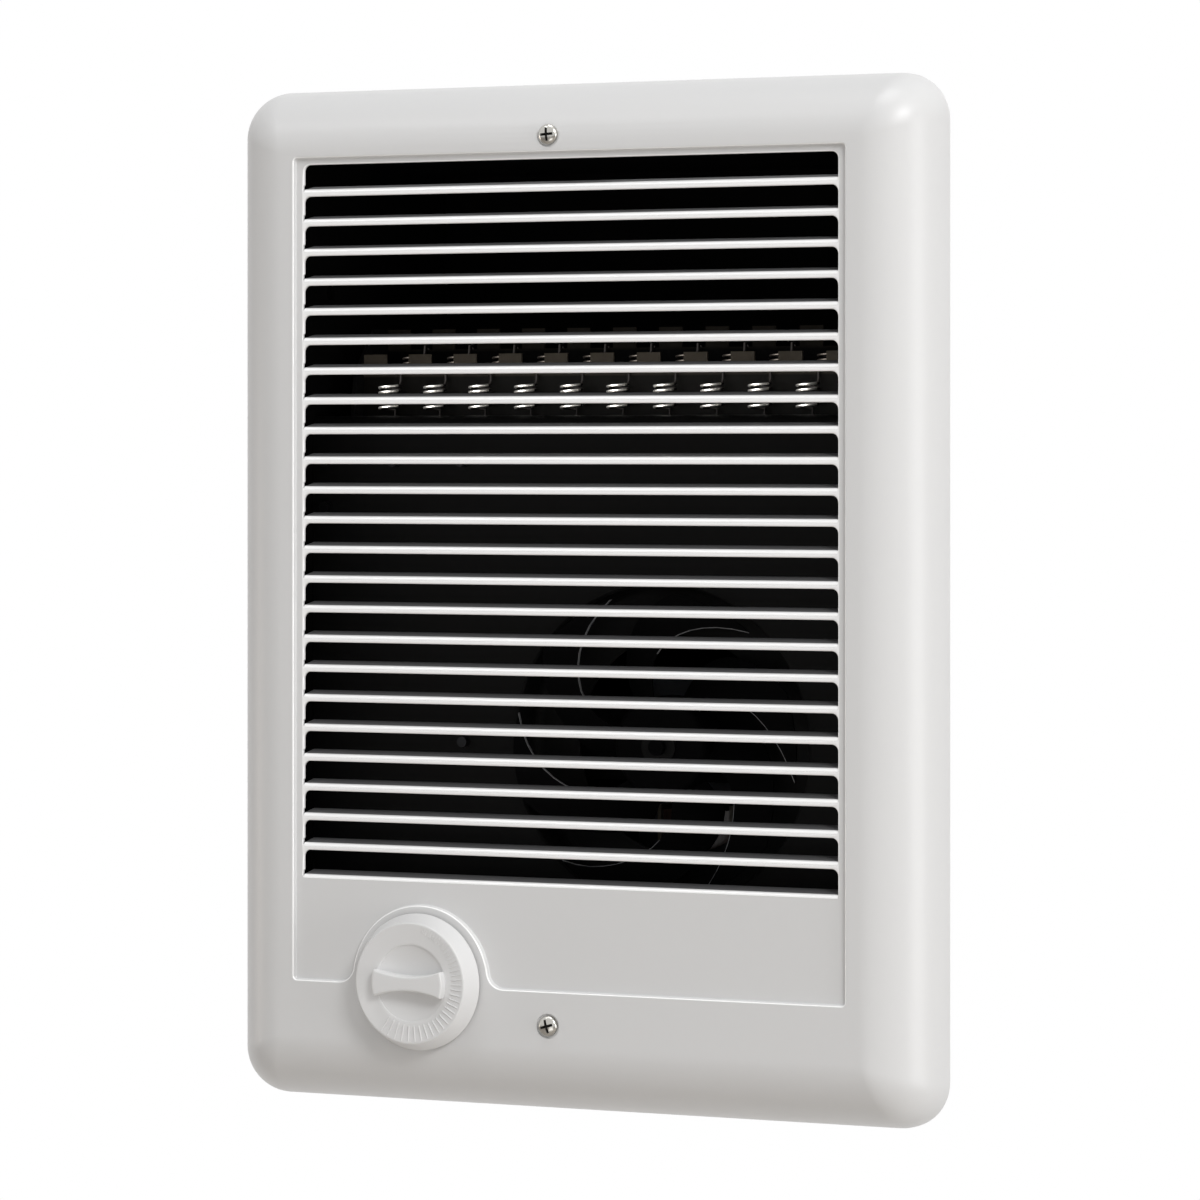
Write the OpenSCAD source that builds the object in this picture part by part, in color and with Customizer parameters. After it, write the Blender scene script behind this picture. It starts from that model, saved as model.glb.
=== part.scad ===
// Recessed fan heater for a bathroom wall: a pressed steel grille with a thermostat knob,
// over a steel wall can that holds a fan deck, a mica and wire element and a small motor.
// Every piece is drawn lying on its back: x to the right, y up the wall and z out of the
// wall into the room, with the wall surface at z = 0. stand() then turns it upright, so
// the room is on the -Y side, +Z is up and the origin lies on the wall surface.

/* [Grille] */
// Width of the grille
grille_w = 228; // [222:1:240]
// Height of the grille
grille_h = 305; // [300:1:320]
// How far the grille stands out from the wall
grille_d = 21.3; // [20.6:0.1:26]
// Radius of the rolled edge and of the corners
edge_round = 19.8; // [15:0.1:20.4]
// Thickness of the grille sheet
grille_t = 1; // [0.7:0.1:1.2]
// Width of the plain band at each side of the sunk panel
band_side = 24.1; // [21:0.1:28]
// Width of the plain band above the sunk panel
band_top = 21.2; // [20:0.1:24]
// Depth of the sunk panel
recess_d = 1.5; // [0.8:0.1:2.5]
// Distance from the knob centre down to the lower edge of the sunk panel
recess_below_knob = 1.1; // [0:0.1:3]
// Gap between the knob skirt and the raised land round it
land_gap = 2.35; // [1.5:0.05:4]
// Radius of the two fillets where the land meets the lower edge
land_fillet = 5; // [2:0.5:8]
// Plain sheet between the panel edge and the slots, at the sides
slot_side_gap = 2.7; // [1.5:0.1:5]
// Plain sheet between the panel edge and the first slot
slot_top_gap = 2.6; // [1.5:0.1:5]
// Least plain sheet between the last slot and the land round the knob
slot_land_gap = 5.5; // [3:0.5:12]
// Height of an air slot
slot_h = 6.7; // [5:0.1:7]
// Distance from one slot to the next
slot_pitch = 8.94; // [8.6:0.02:9.4]
// Extra height of the first slot at its top and of the last at its foot
end_slot_extra = 0.6; // [0:0.1:1]
// Radius of the two upper corners of a slot
slot_corner = 2; // [0.5:0.1:2.4]
// Depth of the louvre folded in from the lower edge of a slot
louvre_d = 6.7; // [3:0.1:8]
// Angle at which a louvre rises inwards
louvre_tilt = 10.5; // [0:0.5:14]

/* [Grille screws] */
// Sideways place of the two grille screws
screw_x = -4.7; // [-8:0.1:8]
// Distance of a grille screw outside the edge of the wall can
screw_out = 4.25; // [3.5:0.05:6]
// Diameter of a grille screw
screw_d = 4.2; // [3:0.1:4.6]
// Length of a grille screw under its head
screw_l = 25.4; // [22:0.1:32]
// Diameter of a grille screw head
screw_head_d = 7.1; // [6.4:0.1:8]
// Height of a grille screw head
screw_head_h = 1.9; // [1.4:0.1:2.4]
// Depth of the flat dimple under a grille screw head
dimple_d = 0.6; // [0.5:0.1:0.9]

/* [Wall can] */
// Width of the wall can
can_w = 203; // [196:1:210]
// Height of the wall can
can_h = 254; // [248:1:260]
// Depth of the wall can
can_d = 102; // [94:1:110]
// Thickness of the can sheet
can_t = 0.9; // [0.7:0.1:1.2]
// Height of the can centre above the grille centre
can_rise = 5.15; // [3:0.05:7]
// Diameter of a cable knockout
knockout_d = 22.2; // [20:0.1:28]
// Diameter of a side fixing hole
fixing_hole_d = 5.2; // [4:0.1:6.5]

/* [Fan deck] */
// Depth of the deck face behind the wall surface
deck_z = 10; // [8:0.5:12]
// Thickness of the deck sheet
deck_t = 0.9; // [0.7:0.1:1.2]
// Height of the deck
deck_h = 174.5; // [168:0.5:178]
// Radius of the bend at the top of the deck
deck_bend = 3; // [2:0.25:4]
// Depth of the flanges at the sides and the foot of the deck
deck_flange = 16; // [10:1:24]
// Sideways place of the fan axis
fan_x = 17.2; // [14:0.2:20]
// Height of the fan axis above the foot of the can
fan_up = 76.9; // [73:0.1:80]
// Diameter of the round air mouth
mouth_d = 96.3; // [92:0.1:98]
// Depth of the well drawn behind the mouth, that the fan turns in
well_d = 13.4; // [12.4:0.1:15]
// Diameter of the air hole in the floor of the well
air_hole_d = 65.8; // [62:0.1:68]

/* [Fan wheel] */
// Number of blades
blade_count = 6; // [4:1:7]
// Gap between the blade tips and the mouth
tip_gap = 2; // [1:0.1:4]
// Pitch angle of a blade
blade_pitch = 33; // [25:1:40]
// Angle that a blade covers round the axis
blade_width = 34; // [26:1:38]
// Camber radius of a blade
blade_camber = 48; // [38:1:70]
// Thickness of the blade sheet
blade_t = 0.9; // [0.8:0.1:1.2]
// Depth of the blade roots behind the wall surface
blade_z = 12.5; // [12:0.5:14]
// Diameter of the fan cup
cup_d = 30; // [26:1:34]
// Depth of the fan cup
cup_h = 11; // [9:0.5:13]
// Depth of the fan cup front behind the wall surface
cup_z = 9.5; // [8.5:0.5:10.5]

/* [Motor] */
// Diameter of the motor shaft
shaft_d = 5; // [4:0.1:6]
// Thickness of the lamination stack
stack_t = 16; // [12:1:20]
// Width of the lamination stack
stack_w = 48; // [46:1:54]
// Diameter of the rotor
rotor_d = 25; // [22:0.5:27]
// Air gap between rotor and stack
air_gap = 0.4; // [0.3:0.05:0.6]
// Depth of the motor strap behind the wall surface
strap_z = 36; // [34:0.5:38]
// Thickness of the motor strap
strap_t = 1.5; // [1.2:0.1:2]
// Height of the motor strap
strap_h = 24; // [20:1:28]
// Length of the spacers between strap and motor
spacer_l = 7; // [6:0.5:9]
// Diameter of a motor bolt
motor_bolt_d = 4; // [3:0.1:4.5]

/* [Element] */
// Depth of the front mica card behind the wall surface
mica_z = 25; // [23:0.5:27]
// Distance from the front card to the rear card
mica_gap = 16; // [14:0.5:20]
// Thickness of a mica card
mica_t = 0.8; // [0.5:0.1:1]
// Number of tabs along the top of a card
tab_count = 12; // [10:1:12]
// Space between the left can wall and the cards
card_room_left = 10.1; // [9.6:0.1:12]
// Space between the right can wall and the cards
card_room_right = 12.7; // [12.2:0.1:15]
// Width of a tab
tab_w = 7.7; // [6:0.1:8]
// Height of a tab
tab_h = 6.2; // [4:0.1:8]
// Height of the front card tabs above the deck
mica_up = 19; // [17:0.5:22]
// Extra height of the rear card
mica_step = 8; // [4:0.5:12]
// Height of the front card without its tabs
mica_h = 16.9; // [15.9:0.1:18]
// Diameter of the resistance wire
coil_wire_d = 0.8; // [0.7:0.1:1]
// Mean radius of a curl
curl_r = 3.2; // [2.6:0.1:3.4]
// Distance between two curls
curl_pitch = 2; // [1.8:0.05:2.2]
// Curls in each upright length of the coil in front of the front card
curl_count = 4; // [3:1:4]
// Distance from the card to the middle of the curls
coil_off = 4.8; // [4.4:0.1:5.2]

/* [Thermostat] */
// Sideways place of the thermostat shaft
knob_x = -47.1; // [-56:0.1:-40]
// Height of the thermostat shaft above the inside of the can floor
knob_up = 6.15; // [4:0.05:10]
// Diameter of the thermostat shaft
stem_d = 6.2; // [5:0.1:6.4]
// Depth of the flat on the thermostat shaft
stem_flat = 1; // [0.6:0.1:1.5]
// Width of the thermostat base
stat_w = 38; // [36:1:42]
// Thickness of the thermostat base
stat_t = 12; // [11:0.5:12.5]
// Turn of the knob between its two stops
knob_turn = 270; // [240:5:290]

/* [Knob] */
// Diameter of the knob skirt at the back
knob_skirt_d = 40.7; // [38:0.1:44]
// Diameter of the knob face
knob_face_d = 36.4; // [33:0.1:38]
// Height of the knob skirt
knob_h = 5.9; // [5.4:0.1:8]
// Gap between the knob and the grille
knob_gap = 0.8; // [0.5:0.1:1.5]
// Diameter of the sunk middle of the knob
dish_d = 22.6; // [20:0.1:24]
// Depth of the two finger dishes
dish_depth = 2; // [1.2:0.1:2.4]
// Height of the grip bar above the face
grip_up = 2.6; // [1.5:0.1:4]
// Width of the grip bar at its ends
grip_end_w = 8.4; // [7:0.1:10]
// Width of the grip bar in the middle
grip_mid_w = 4.4; // [3.6:0.1:5.4]

/* [Hidden] */
$fa = 4;
$fs = 0.5;
// Running clearance of a shaft in its bearing, on the radius
run_fit = 0.05;
// Clearance of a screw in its tapped hole, on the radius
thread_fit = 0.05;
// Clearance of a screw in a plain hole, on the radius
hole_fit = 0.3;
// Gap between sheet parts that slide together
slip = 0.4;
// Overshoot of a cutting tool past the face it cuts
cut = 1;

// Places worked out from the driving dimensions
in_w = can_w - 2 * can_t;
can_low = can_rise - can_h / 2;
can_top = can_rise + can_h / 2;
can_floor = can_low + can_t;
can_back_z = can_t - can_d;
deck_back_z = -deck_z - deck_t;
deck_w = in_w - 2 * slip;
deck_low = can_floor + slip;
deck_top = deck_low + deck_h;
screw_top_y = can_top + screw_out;
screw_low_y = can_low - screw_out;
knob_y = can_floor + knob_up;
fan_y = can_low + fan_up;
panel_w = grille_w - 2 * band_side;
panel_top = grille_h / 2 - band_top;
panel_low = knob_y - recess_below_knob;
panel_z = grille_d - recess_d;
land_r = knob_skirt_d / 2 + land_gap;
slot_w = panel_w - 2 * slot_side_gap;
slot_first = panel_top - slot_top_gap;
slot_count = floor((slot_first - knob_y - land_r - slot_land_gap) / slot_pitch);

// ---------------------------------------------------------------- shared shapes

// Stands a lying piece upright against the wall
module stand() rotate([90, 0, 0]) children();

// Block from corner (x0, y0) to corner (x1, y1), from z0 to z1
module plate(x0, y0, x1, y1, z0, z1) {
    translate([x0, y0, z0]) cube([x1 - x0, y1 - y0, z1 - z0]);
}

// Round bar along z, from z0 to z1
module rod(x, y, z0, z1, d) {
    translate([x, y, z0]) cylinder(d = d, h = z1 - z0);
}

// Pan head screw that points to -z, with its head on the plane z
module pan_screw(x, y, z, d, length, head_d, head_h) {
    translate([x, y, z]) {
        difference() {
            intersection() {
                cylinder(d = head_d, h = head_h);
                translate([0, 0, head_h - head_d]) sphere(r = head_d);
            }
            for (turn = [0, 90]) rotate([0, 0, turn])
                translate([-head_d * 0.3, -head_d * 0.07, head_h * 0.4])
                    cube([head_d * 0.6, head_d * 0.14, head_h]);
        }
        translate([0, 0, -length]) cylinder(d = d, h = length + head_h * 0.3);
    }
}

// Hexagon nut on the plane z, towards -z
module hex_nut(x, y, z, bore, across, h) {
    translate([x, y, z - h]) difference() {
        cylinder(d = across / cos(30), h = h, $fn = 6);
        translate([0, 0, -cut]) cylinder(d = bore, h = h + 2 * cut);
    }
}

// ---------------------------------------------------------------- tube along a path

function unit(v) = v / norm(v);
function last(list) = list[len(list) - 1];

// Point at share t between b and c on a smooth curve through a, b, c and d
function curve_point(a, b, c, d, t) =
    0.5 * (2 * b + (c - a) * t + (2 * a - 5 * b + 4 * c - d) * t * t
           + (3 * b - a - 3 * c + d) * t * t * t);

// Smooth curve through the points, with steps rings between two of them
function smooth(points, steps) = [
    for (i = [0 : len(points) - 2]) for (s = [0 : steps - 1])
        let (a = points[max(i - 1, 0)], b = points[i], c = points[i + 1],
             d = points[min(i + 2, len(points) - 1)])
        curve_point(a, b, c, d, s / steps),
    last(points)
];

// Direction of a path at each of its points
function headings(path) = [
    for (i = [0 : len(path) - 1])
        i == 0 ? unit(path[1] - path[0])
        : i == len(path) - 1 ? unit(path[i] - path[i - 1])
        : unit(unit(path[i + 1] - path[i]) + unit(path[i] - path[i - 1]))
];

// A direction square to heading h that turns as little as possible from side s
function carried(s, h) = unit(s - (s * h) * h);

// Closed tube of n sides round a path
module tube(path, d, n) {
    way = headings(path);
    start = abs(way[0][2]) < 0.9 ? [0, 0, 1] : [1, 0, 0];
    sides = [
        for (i = 0, s = carried(start, way[0]); i < len(path);
             i = i + 1, s = i < len(path) ? carried(s, way[i]) : s) s
    ];
    points = [
        for (i = [0 : len(path) - 1]) for (k = [0 : n - 1])
            path[i] + d / 2 * (cos(360 * k / n) * sides[i]
                               + sin(360 * k / n) * cross(way[i], sides[i]))
    ];
    rings = len(path);
    walls = [
        for (i = [0 : rings - 2]) for (k = [0 : n - 1])
            let (a = i * n + k, b = i * n + (k + 1) % n)
            each [[a, a + n, b + n], [a, b + n, b]]
    ];
    foot = [for (k = [1 : n - 2]) [0, k, k + 1]];
    head = [for (k = [1 : n - 2]) [(rings - 1) * n, (rings - 1) * n + k + 1, (rings - 1) * n + k]];
    polyhedron(points = points, faces = concat(walls, foot, head));
}

// ---------------------------------------------------------------- wall can

// Places of the round knockouts: side walls, floor and back
side_knockout_up = 30;
side_knockout_z = -60;
floor_knockout_x = [-60, 62];
back_knockout = [-62, -70];
// Depth of the ring groove of a closed knockout, and its width
groove_d = 0.5;
groove_w = 0.6;
// Heights of the side fixing holes above the can foot, and their depth
fixing_up = [40, 214];
fixing_z = -22;
// Screw tabs and deck ears bent from the can
tab_half = 9;
ear_w = 10;
ear_h = 14;
ear_up = 12;

// Ring that a closed knockout is pressed along, round the z axis
module knockout_groove() {
    difference() {
        cylinder(d = knockout_d, h = groove_d + cut);
        translate([0, 0, -cut]) cylinder(d = knockout_d - 2 * groove_w, h = groove_d + 3 * cut);
    }
}

module wall_can() color("#9a9c9e") stand() {
    difference() {
        union() {
            difference() {
                plate(-can_w / 2, can_low, can_w / 2, can_top, can_back_z, can_t);
                plate(-in_w / 2, can_floor, in_w / 2, can_top - can_t, can_back_z + can_t, can_t + cut);
            }
            // tabs for the grille screws, turned outwards over the wall surface
            plate(screw_x - tab_half, can_top - can_t, screw_x + tab_half,
                  screw_top_y + screw_d * 1.4, 0, can_t);
            plate(screw_x - tab_half, screw_low_y - screw_d * 1.4, screw_x + tab_half,
                  can_floor, 0, can_t);
            // ears for the deck screws, turned inwards
            for (s = [-1, 1]) plate(
                min(s * in_w / 2, s * (in_w / 2 - ear_w)), can_floor + ear_up,
                max(s * in_w / 2, s * (in_w / 2 - ear_w)), can_floor + ear_up + ear_h,
                deck_back_z - can_t, deck_back_z);
            rod(ground_x, can_low + ground_up, can_back_z, ground_seat_z, ground_boss_d);
        }
        for (y = [screw_top_y, screw_low_y])
            rod(screw_x, y, -cut, can_t + cut, screw_d + 2 * thread_fit);
        for (s = [-1, 1])
            rod(s * (in_w / 2 - ear_w / 2), can_floor + ear_up + ear_h / 2,
                deck_back_z - can_t - cut, deck_back_z + cut, deck_screw_d + 2 * thread_fit);
        // side fixing holes
        for (up = fixing_up)
            translate([-can_w / 2 - cut, can_low + up, fixing_z]) rotate([0, 90, 0])
                cylinder(d = fixing_hole_d, h = can_w + 2 * cut);
        // open cable entry in the left wall, closed knockouts elsewhere
        translate([-can_w / 2 - cut, can_low + side_knockout_up, side_knockout_z])
            rotate([0, 90, 0]) cylinder(d = knockout_d, h = can_t + 2 * cut);
        translate([can_w / 2 - groove_d, can_low + side_knockout_up, side_knockout_z])
            rotate([0, 90, 0]) knockout_groove();
        for (x = floor_knockout_x)
            translate([x, can_low + groove_d, side_knockout_z]) rotate([90, 0, 0])
                knockout_groove();
        translate([back_knockout[0], back_knockout[1], can_back_z + groove_d])
            rotate([180, 0, 0]) knockout_groove();
        // hollow behind the boss of the ground screw, and the hole in the boss
        rod(ground_x, can_low + ground_up, can_back_z - cut, ground_seat_z - can_t,
            ground_boss_d - 2 * can_t);
        rod(ground_x, can_low + ground_up, can_back_z, ground_seat_z + cut,
            ground_d + 2 * thread_fit);
    }
}

// Ground screw, on a boss pressed inwards from the back wall of the can
ground_x = 17.5 - can_w / 2;
ground_up = 22;
ground_d = 4.2;
ground_l = 6;
ground_head = 9;
ground_boss_d = 16;
ground_boss_h = 7;
ground_seat_z = can_back_z + can_t + ground_boss_h;

module ground_screw() color("#2f7a44") stand()
    pan_screw(ground_x, can_low + ground_up, ground_seat_z, ground_d, ground_l,
              ground_head, 3);

// ---------------------------------------------------------------- grille

// Side view of the rolled edge: r out from the start of the roll, height z
module edge_profile(inset, under) {
    r = edge_round - inset;
    rim = grille_d - edge_round;
    translate([0, -under]) square([r, rim + under]);
    intersection() {
        translate([0, rim]) circle(r = r);
        translate([0, rim - 0.01]) square([r + cut, r + cut]);
    }
}

// Solid form of the grille pan, set in by inset all over and carried under by under
module pan(inset, under) {
    half_w = grille_w / 2 - edge_round;
    half_h = grille_h / 2 - edge_round;
    plate(-half_w, -half_h, half_w, half_h, -under, grille_d - inset);
    for (k = [0 : 3]) {
        along = k % 2 == 0 ? half_h : half_w;
        across = k % 2 == 0 ? half_w : half_h;
        rotate([0, 0, 90 * k]) translate([across, along, 0]) {
            rotate([90, 0, 0]) linear_extrude(2 * along) edge_profile(inset, under);
            rotate_extrude(angle = 90) edge_profile(inset, under);
        }
    }
}

// Points on an arc round (cx, cy), from angle a0 to a1
function arc(cx, cy, r, a0, a1, steps) = [
    for (i = [0 : steps]) let (a = a0 + (a1 - a0) * i / steps) [cx + r * cos(a), cy + r * sin(a)]
];

// Outline of the sunk panel, grown by grow: it rises over the knob in an arc with fillets
function panel_outline(grow) =
    let (
        half = panel_w / 2 + grow,
        low = panel_low - grow,
        big = land_r - grow,
        small = land_fillet + grow,
        fy = panel_low + land_fillet,
        fx = sqrt(pow(land_r + land_fillet, 2) - pow(fy - knob_y, 2)),
        lean = atan2(fy - knob_y, fx)
    )
    concat(
        [[-half, panel_top + grow], [-half, low]],
        arc(knob_x - fx, fy, small, 270, 360 - lean, 6),
        arc(knob_x, knob_y, big, 180 - lean, lean, 28),
        arc(knob_x + fx, fy, small, 180 + lean, 270, 6),
        [[half, low], [half, panel_top + grow]]
    );

// Top and bottom of slot i
function slot_upper(i) = slot_first - i * slot_pitch + (i == 0 ? end_slot_extra : 0);
function slot_lower(i) =
    slot_first - i * slot_pitch - slot_h - (i == slot_count - 1 ? end_slot_extra : 0);

// Relief cut at the lower corners of a slot, where the louvre folds in
relief_w = 0.4;
relief_h = 1.4;

// Opening of slot i, with round upper corners and a relief at each lower corner
module slot_plan(i) {
    top = slot_upper(i);
    low = slot_lower(i);
    half = slot_w / 2;
    out = half + relief_w;
    polygon(concat(
        [[-out, low], [out, low], [out, low + relief_h - relief_w], [half, low + relief_h]],
        arc(half - slot_corner, top - slot_corner, slot_corner, 0, 90, 4),
        arc(slot_corner - half, top - slot_corner, slot_corner, 90, 180, 4),
        [[-half, low + relief_h], [-out, low + relief_h - relief_w]]
    ));
}

module grille() color("#eceded") stand() {
    difference() {
        pan(0, 0);
        translate([0, 0, panel_z]) linear_extrude(recess_d + cut) polygon(panel_outline(0));
        difference() {
            pan(grille_t, cut);
            translate([0, 0, panel_z - grille_t]) linear_extrude(recess_d + grille_t)
                polygon(panel_outline(grille_t));
            for (y = [screw_top_y, screw_low_y])
                rod(screw_x, y, grille_d - dimple_d - grille_t, grille_d,
                    screw_head_d + 2 * dimple_rim + 2 * grille_t);
        }
        for (y = [screw_top_y, screw_low_y]) {
            rod(screw_x, y, grille_d - dimple_d, grille_d + cut, screw_head_d + 2 * dimple_rim);
            rod(screw_x, y, 0, grille_d, screw_d + 2 * hole_fit);
        }
        rod(knob_x, knob_y, 0, grille_d + cut, hub_d + 2 * hub_gap);
        translate([0, 0, panel_z - grille_t - cut]) linear_extrude(grille_t + 2 * cut)
            for (i = [0 : slot_count - 1]) slot_plan(i);
    }
    // louvres folded in from the lower edge of each slot
    for (i = [0 : slot_count - 1])
        translate([-slot_w / 2, slot_lower(i) - grille_t, panel_z - grille_t / 2])
            rotate([louvre_tilt, 0, 0]) translate([0, 0, -louvre_d])
                cube([slot_w, grille_t, louvre_d]);
}

// Plain rim of a dimple round the screw head
dimple_rim = 0.45;

module grille_screws() color("#c9c9c6") stand()
    for (y = [screw_top_y, screw_low_y])
        pan_screw(screw_x, y, grille_d - dimple_d, screw_d, screw_l, screw_head_d, screw_head_h);

// ---------------------------------------------------------------- fan deck

deck_screw_d = 3.5;
deck_screw_l = 8;
deck_screw_head = 7;
// Side notch in the deck flange over the can ear, and the hole for the two leads
ear_notch = 2;
grommet_x = knob_x - 25.4;
grommet_up = 22;
grommet_hole_d = 12.4;
grommet_flange_d = 15;
grommet_bore_d = 9.4;
// Broken edge of the mouth, and the rounded corner of the well
mouth_edge = 0.6;
well_corner = 3;

// Round well of radius r, from a height over the deck face down to depth d below it
module well(r, top, d, corner) {
    translate([fan_x, fan_y, -deck_z]) rotate_extrude() polygon(concat(
        [[0, top], [r + mouth_edge + top, top], [r, -mouth_edge]],
        arc(r - corner, corner - d, corner, 0, -90, 5), [[0, -d]]));
}

module fan_deck() color("#202021") stand() {
    half = deck_w / 2;
    bend_y = deck_top - deck_bend;
    difference() {
        union() {
            plate(-half, deck_low, half, bend_y, deck_back_z, -deck_z);
            // rolled top edge
            translate([half, bend_y, -deck_z - deck_bend]) rotate([0, -90, 0])
                linear_extrude(deck_w) difference() {
                    intersection() {
                        circle(r = deck_bend);
                        square(deck_bend + cut);
                    }
                    circle(r = deck_bend - deck_t);
                }
            plate(-half, deck_top - deck_t, half, deck_top, -deck_z - deck_bend - 2, -deck_z - deck_bend);
            // flanges at both sides and at the foot
            for (x = [-half, half - deck_t])
                plate(x, deck_low, x + deck_t, bend_y, -deck_z - deck_flange, -deck_z);
            plate(-half, deck_low, half, deck_low + deck_t, -deck_z - deck_flange, -deck_z);
            // well drawn back behind the air mouth
            well(mouth_d / 2 + deck_t, 0, well_d + deck_t, well_corner + deck_t);
        }
        well(mouth_d / 2, cut, well_d, well_corner);
        rod(fan_x, fan_y, -deck_z - well_d - deck_t - cut, -deck_z + cut, air_hole_d);
        // room for the can ears
        for (s = [-1, 1])
            plate(s > 0 ? half - deck_t - cut : -half - cut, can_floor + ear_up - ear_notch,
                  s > 0 ? half + cut : -half + deck_t + cut, can_floor + ear_up + ear_h + ear_notch,
                  -deck_z - deck_flange - cut, deck_back_z);
        for (s = [-1, 1])
            rod(s * (can_w / 2 - can_t - ear_w / 2), can_floor + ear_up + ear_h / 2,
                deck_back_z - cut, -deck_z + cut, deck_screw_d + 2 * hole_fit);
        rod(grommet_x, can_floor + grommet_up, deck_back_z - cut, -deck_z + cut, grommet_hole_d);
        for (p = sheet_screw_places)
            rod(p[0], p[1], deck_back_z - cut, -deck_z + cut, sheet_screw_d + 2 * thread_fit);
    }
}

module deck_screws() color("#8f9092") stand()
    for (s = [-1, 1])
        pan_screw(s * (can_w / 2 - can_t - ear_w / 2), can_floor + ear_up + ear_h / 2, -deck_z,
                  deck_screw_d, deck_screw_l, deck_screw_head, 2.4);

// Plastic bush that lines the lead hole: a flange on each face of the deck
module wire_grommet() color("#1a1a1b") stand() {
    y = can_floor + grommet_up;
    lip = 1.2;
    difference() {
        union() {
            rod(grommet_x, y, -deck_z, -deck_z + lip, grommet_flange_d);
            rod(grommet_x, y, deck_back_z - lip, -deck_z + lip, grommet_hole_d - 2 * run_fit);
            rod(grommet_x, y, deck_back_z - lip, deck_back_z, grommet_flange_d);
        }
        rod(grommet_x, y, deck_back_z - lip - cut, -deck_z + lip + cut, grommet_bore_d);
    }
}

// ---------------------------------------------------------------- fan wheel

cup_t = 1;
collar_od = 10.4;
collar_past = 2.5;
press_gap = 0.01;
// Angle of the first blade at rest
blade_start = 45;
// Leading edge of a blade: angle from the blade's own axis at each share of its radius
edge_angles = [
    [0.3, -2], [0.52, -8], [0.65, -18.3], [0.737, -27.2], [0.823, -36.5], [0.91, -46.3], [1, -56.8]
];
// Depth that takes in a whole blade in front of or behind its root
blade_reach = 20;
clip_t = 0.8;
clip_d = 11;

// Curved outline of a blade seen along the shaft
module blade_plan(tip_r) {
    front = [for (e = edge_angles) tip_r * e[0] * [cos(e[1]), sin(e[1])]];
    tip = arc(0, 0, tip_r, last(edge_angles)[1], last(edge_angles)[1] + blade_width, 10);
    rear = [for (i = [len(edge_angles) - 1 : -1 : 0])
        let (e = edge_angles[i], a = e[1] + blade_width) tip_r * e[0] * [cos(a), sin(a)]];
    polygon(concat(front, tip, rear));
}

// One cambered sheet blade that leans forward at its leading edge
module blade(tip_r) {
    intersection() {
        translate([0, 0, -blade_z - blade_reach]) linear_extrude(2 * blade_reach)
            blade_plan(tip_r);
        translate([0, -blade_camber * sin(blade_pitch), -blade_z - blade_camber * cos(blade_pitch)])
            rotate([0, 90, 0]) difference() {
                cylinder(r = blade_camber + blade_t / 2, h = tip_r + cut);
                translate([0, 0, -cut])
                    cylinder(r = blade_camber - blade_t / 2, h = tip_r + 3 * cut);
            }
    }
}

module fan_wheel() color("#6d6f72") stand() translate([fan_x, fan_y, 0]) {
    tip_r = mouth_d / 2 - tip_gap;
    difference() {
        union() {
            rod(0, 0, -cup_z - cup_h, -cup_z, cup_d);
            for (i = [0 : blade_count - 1])
                rotate([0, 0, blade_start + i * 360 / blade_count]) blade(tip_r);
        }
        difference() {
            rod(0, 0, -cup_z - blade_reach, -cup_z - cup_t, cup_d - 2 * cup_t);
            rod(0, 0, -cup_z - cup_h - collar_past, -cup_z, collar_od);
        }
        rod(0, 0, -cup_z - blade_reach, -cup_z + cut, shaft_d + 2 * press_gap);
        // blade roots end at the cup front
        rod(0, 0, -cup_z, -cup_z + blade_reach, cup_d - 0.2);
    }
}

// Push-on clip in front of the cup
module fan_clip() color("#b4b6b8") stand() translate([fan_x, fan_y, 0]) difference() {
    rod(0, 0, -cup_z, -cup_z + clip_t, clip_d);
    rod(0, 0, -cup_z - cut, -cup_z + clip_t + cut, shaft_d + 2 * press_gap);
}

// ---------------------------------------------------------------- motor

// Faces of the motor along its axis, from the strap back
foot_t = 2;
stack_z = -(strap_z + strap_t + spacer_l + foot_t);
stack_end = stack_z - stack_t;
bolt_off = 19;
bolt_head = 3;
bridge_rise = 3;
boss_d = 13;
boss_l = 2;
bush_d = 8;
rotor_short = 0.5;
stack_up = 21;
leg_h = 12;
window_w = 26;
window_h = 14;
window_low = 30;
rotor_bore = rotor_d + 2 * air_gap;

module motor_place() stand() translate([fan_x, fan_y, 0]) children();

module motor_shaft() color("#bfc1c4") motor_place()
    rod(0, 0, stack_end - foot_t - bridge_rise - boss_l - 2.5, -cup_z + 2.5, shaft_d);

module rotor() color("#8b8d90") motor_place() difference() {
    union() {
        rod(0, 0, stack_end + rotor_short, stack_z - rotor_short, rotor_d);
        // end rings
        rod(0, 0, stack_end + rotor_short - 1.2, stack_z - rotor_short + 1.2, rotor_d - 5);
    }
    rod(0, 0, stack_end - 20, stack_z + 20, shaft_d + 2 * press_gap);
}

ring_y = 8;
ring_w = 2.4;
ring_t = 1.6;
ring_in = 7;

module stator_stack() color("#55585c") motor_place() difference() {
    plate(-stack_w / 2, -window_low - leg_h, stack_w / 2, stack_up, stack_end, stack_z);
    rod(0, 0, stack_end - cut, stack_z + cut, rotor_bore);
    plate(-window_w / 2, -window_low, window_w / 2, window_h - window_low, stack_end - cut, stack_z + cut);
    for (s = [-1, 1]) {
        rod(s * bolt_off, 0, stack_end - cut, stack_z + cut, motor_bolt_d + 2 * hole_fit);
        // slots of the shading rings
        rotate([0, 0, s > 0 ? 180 : 0])
            plate(-stack_w / 2 + ring_in - slip / 2, ring_y - slip / 2,
                  -stack_w / 2 + ring_in + ring_t + slip / 2, ring_y + ring_w + slip / 2,
                  stack_end - cut, stack_z + cut);
    }
}

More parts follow.
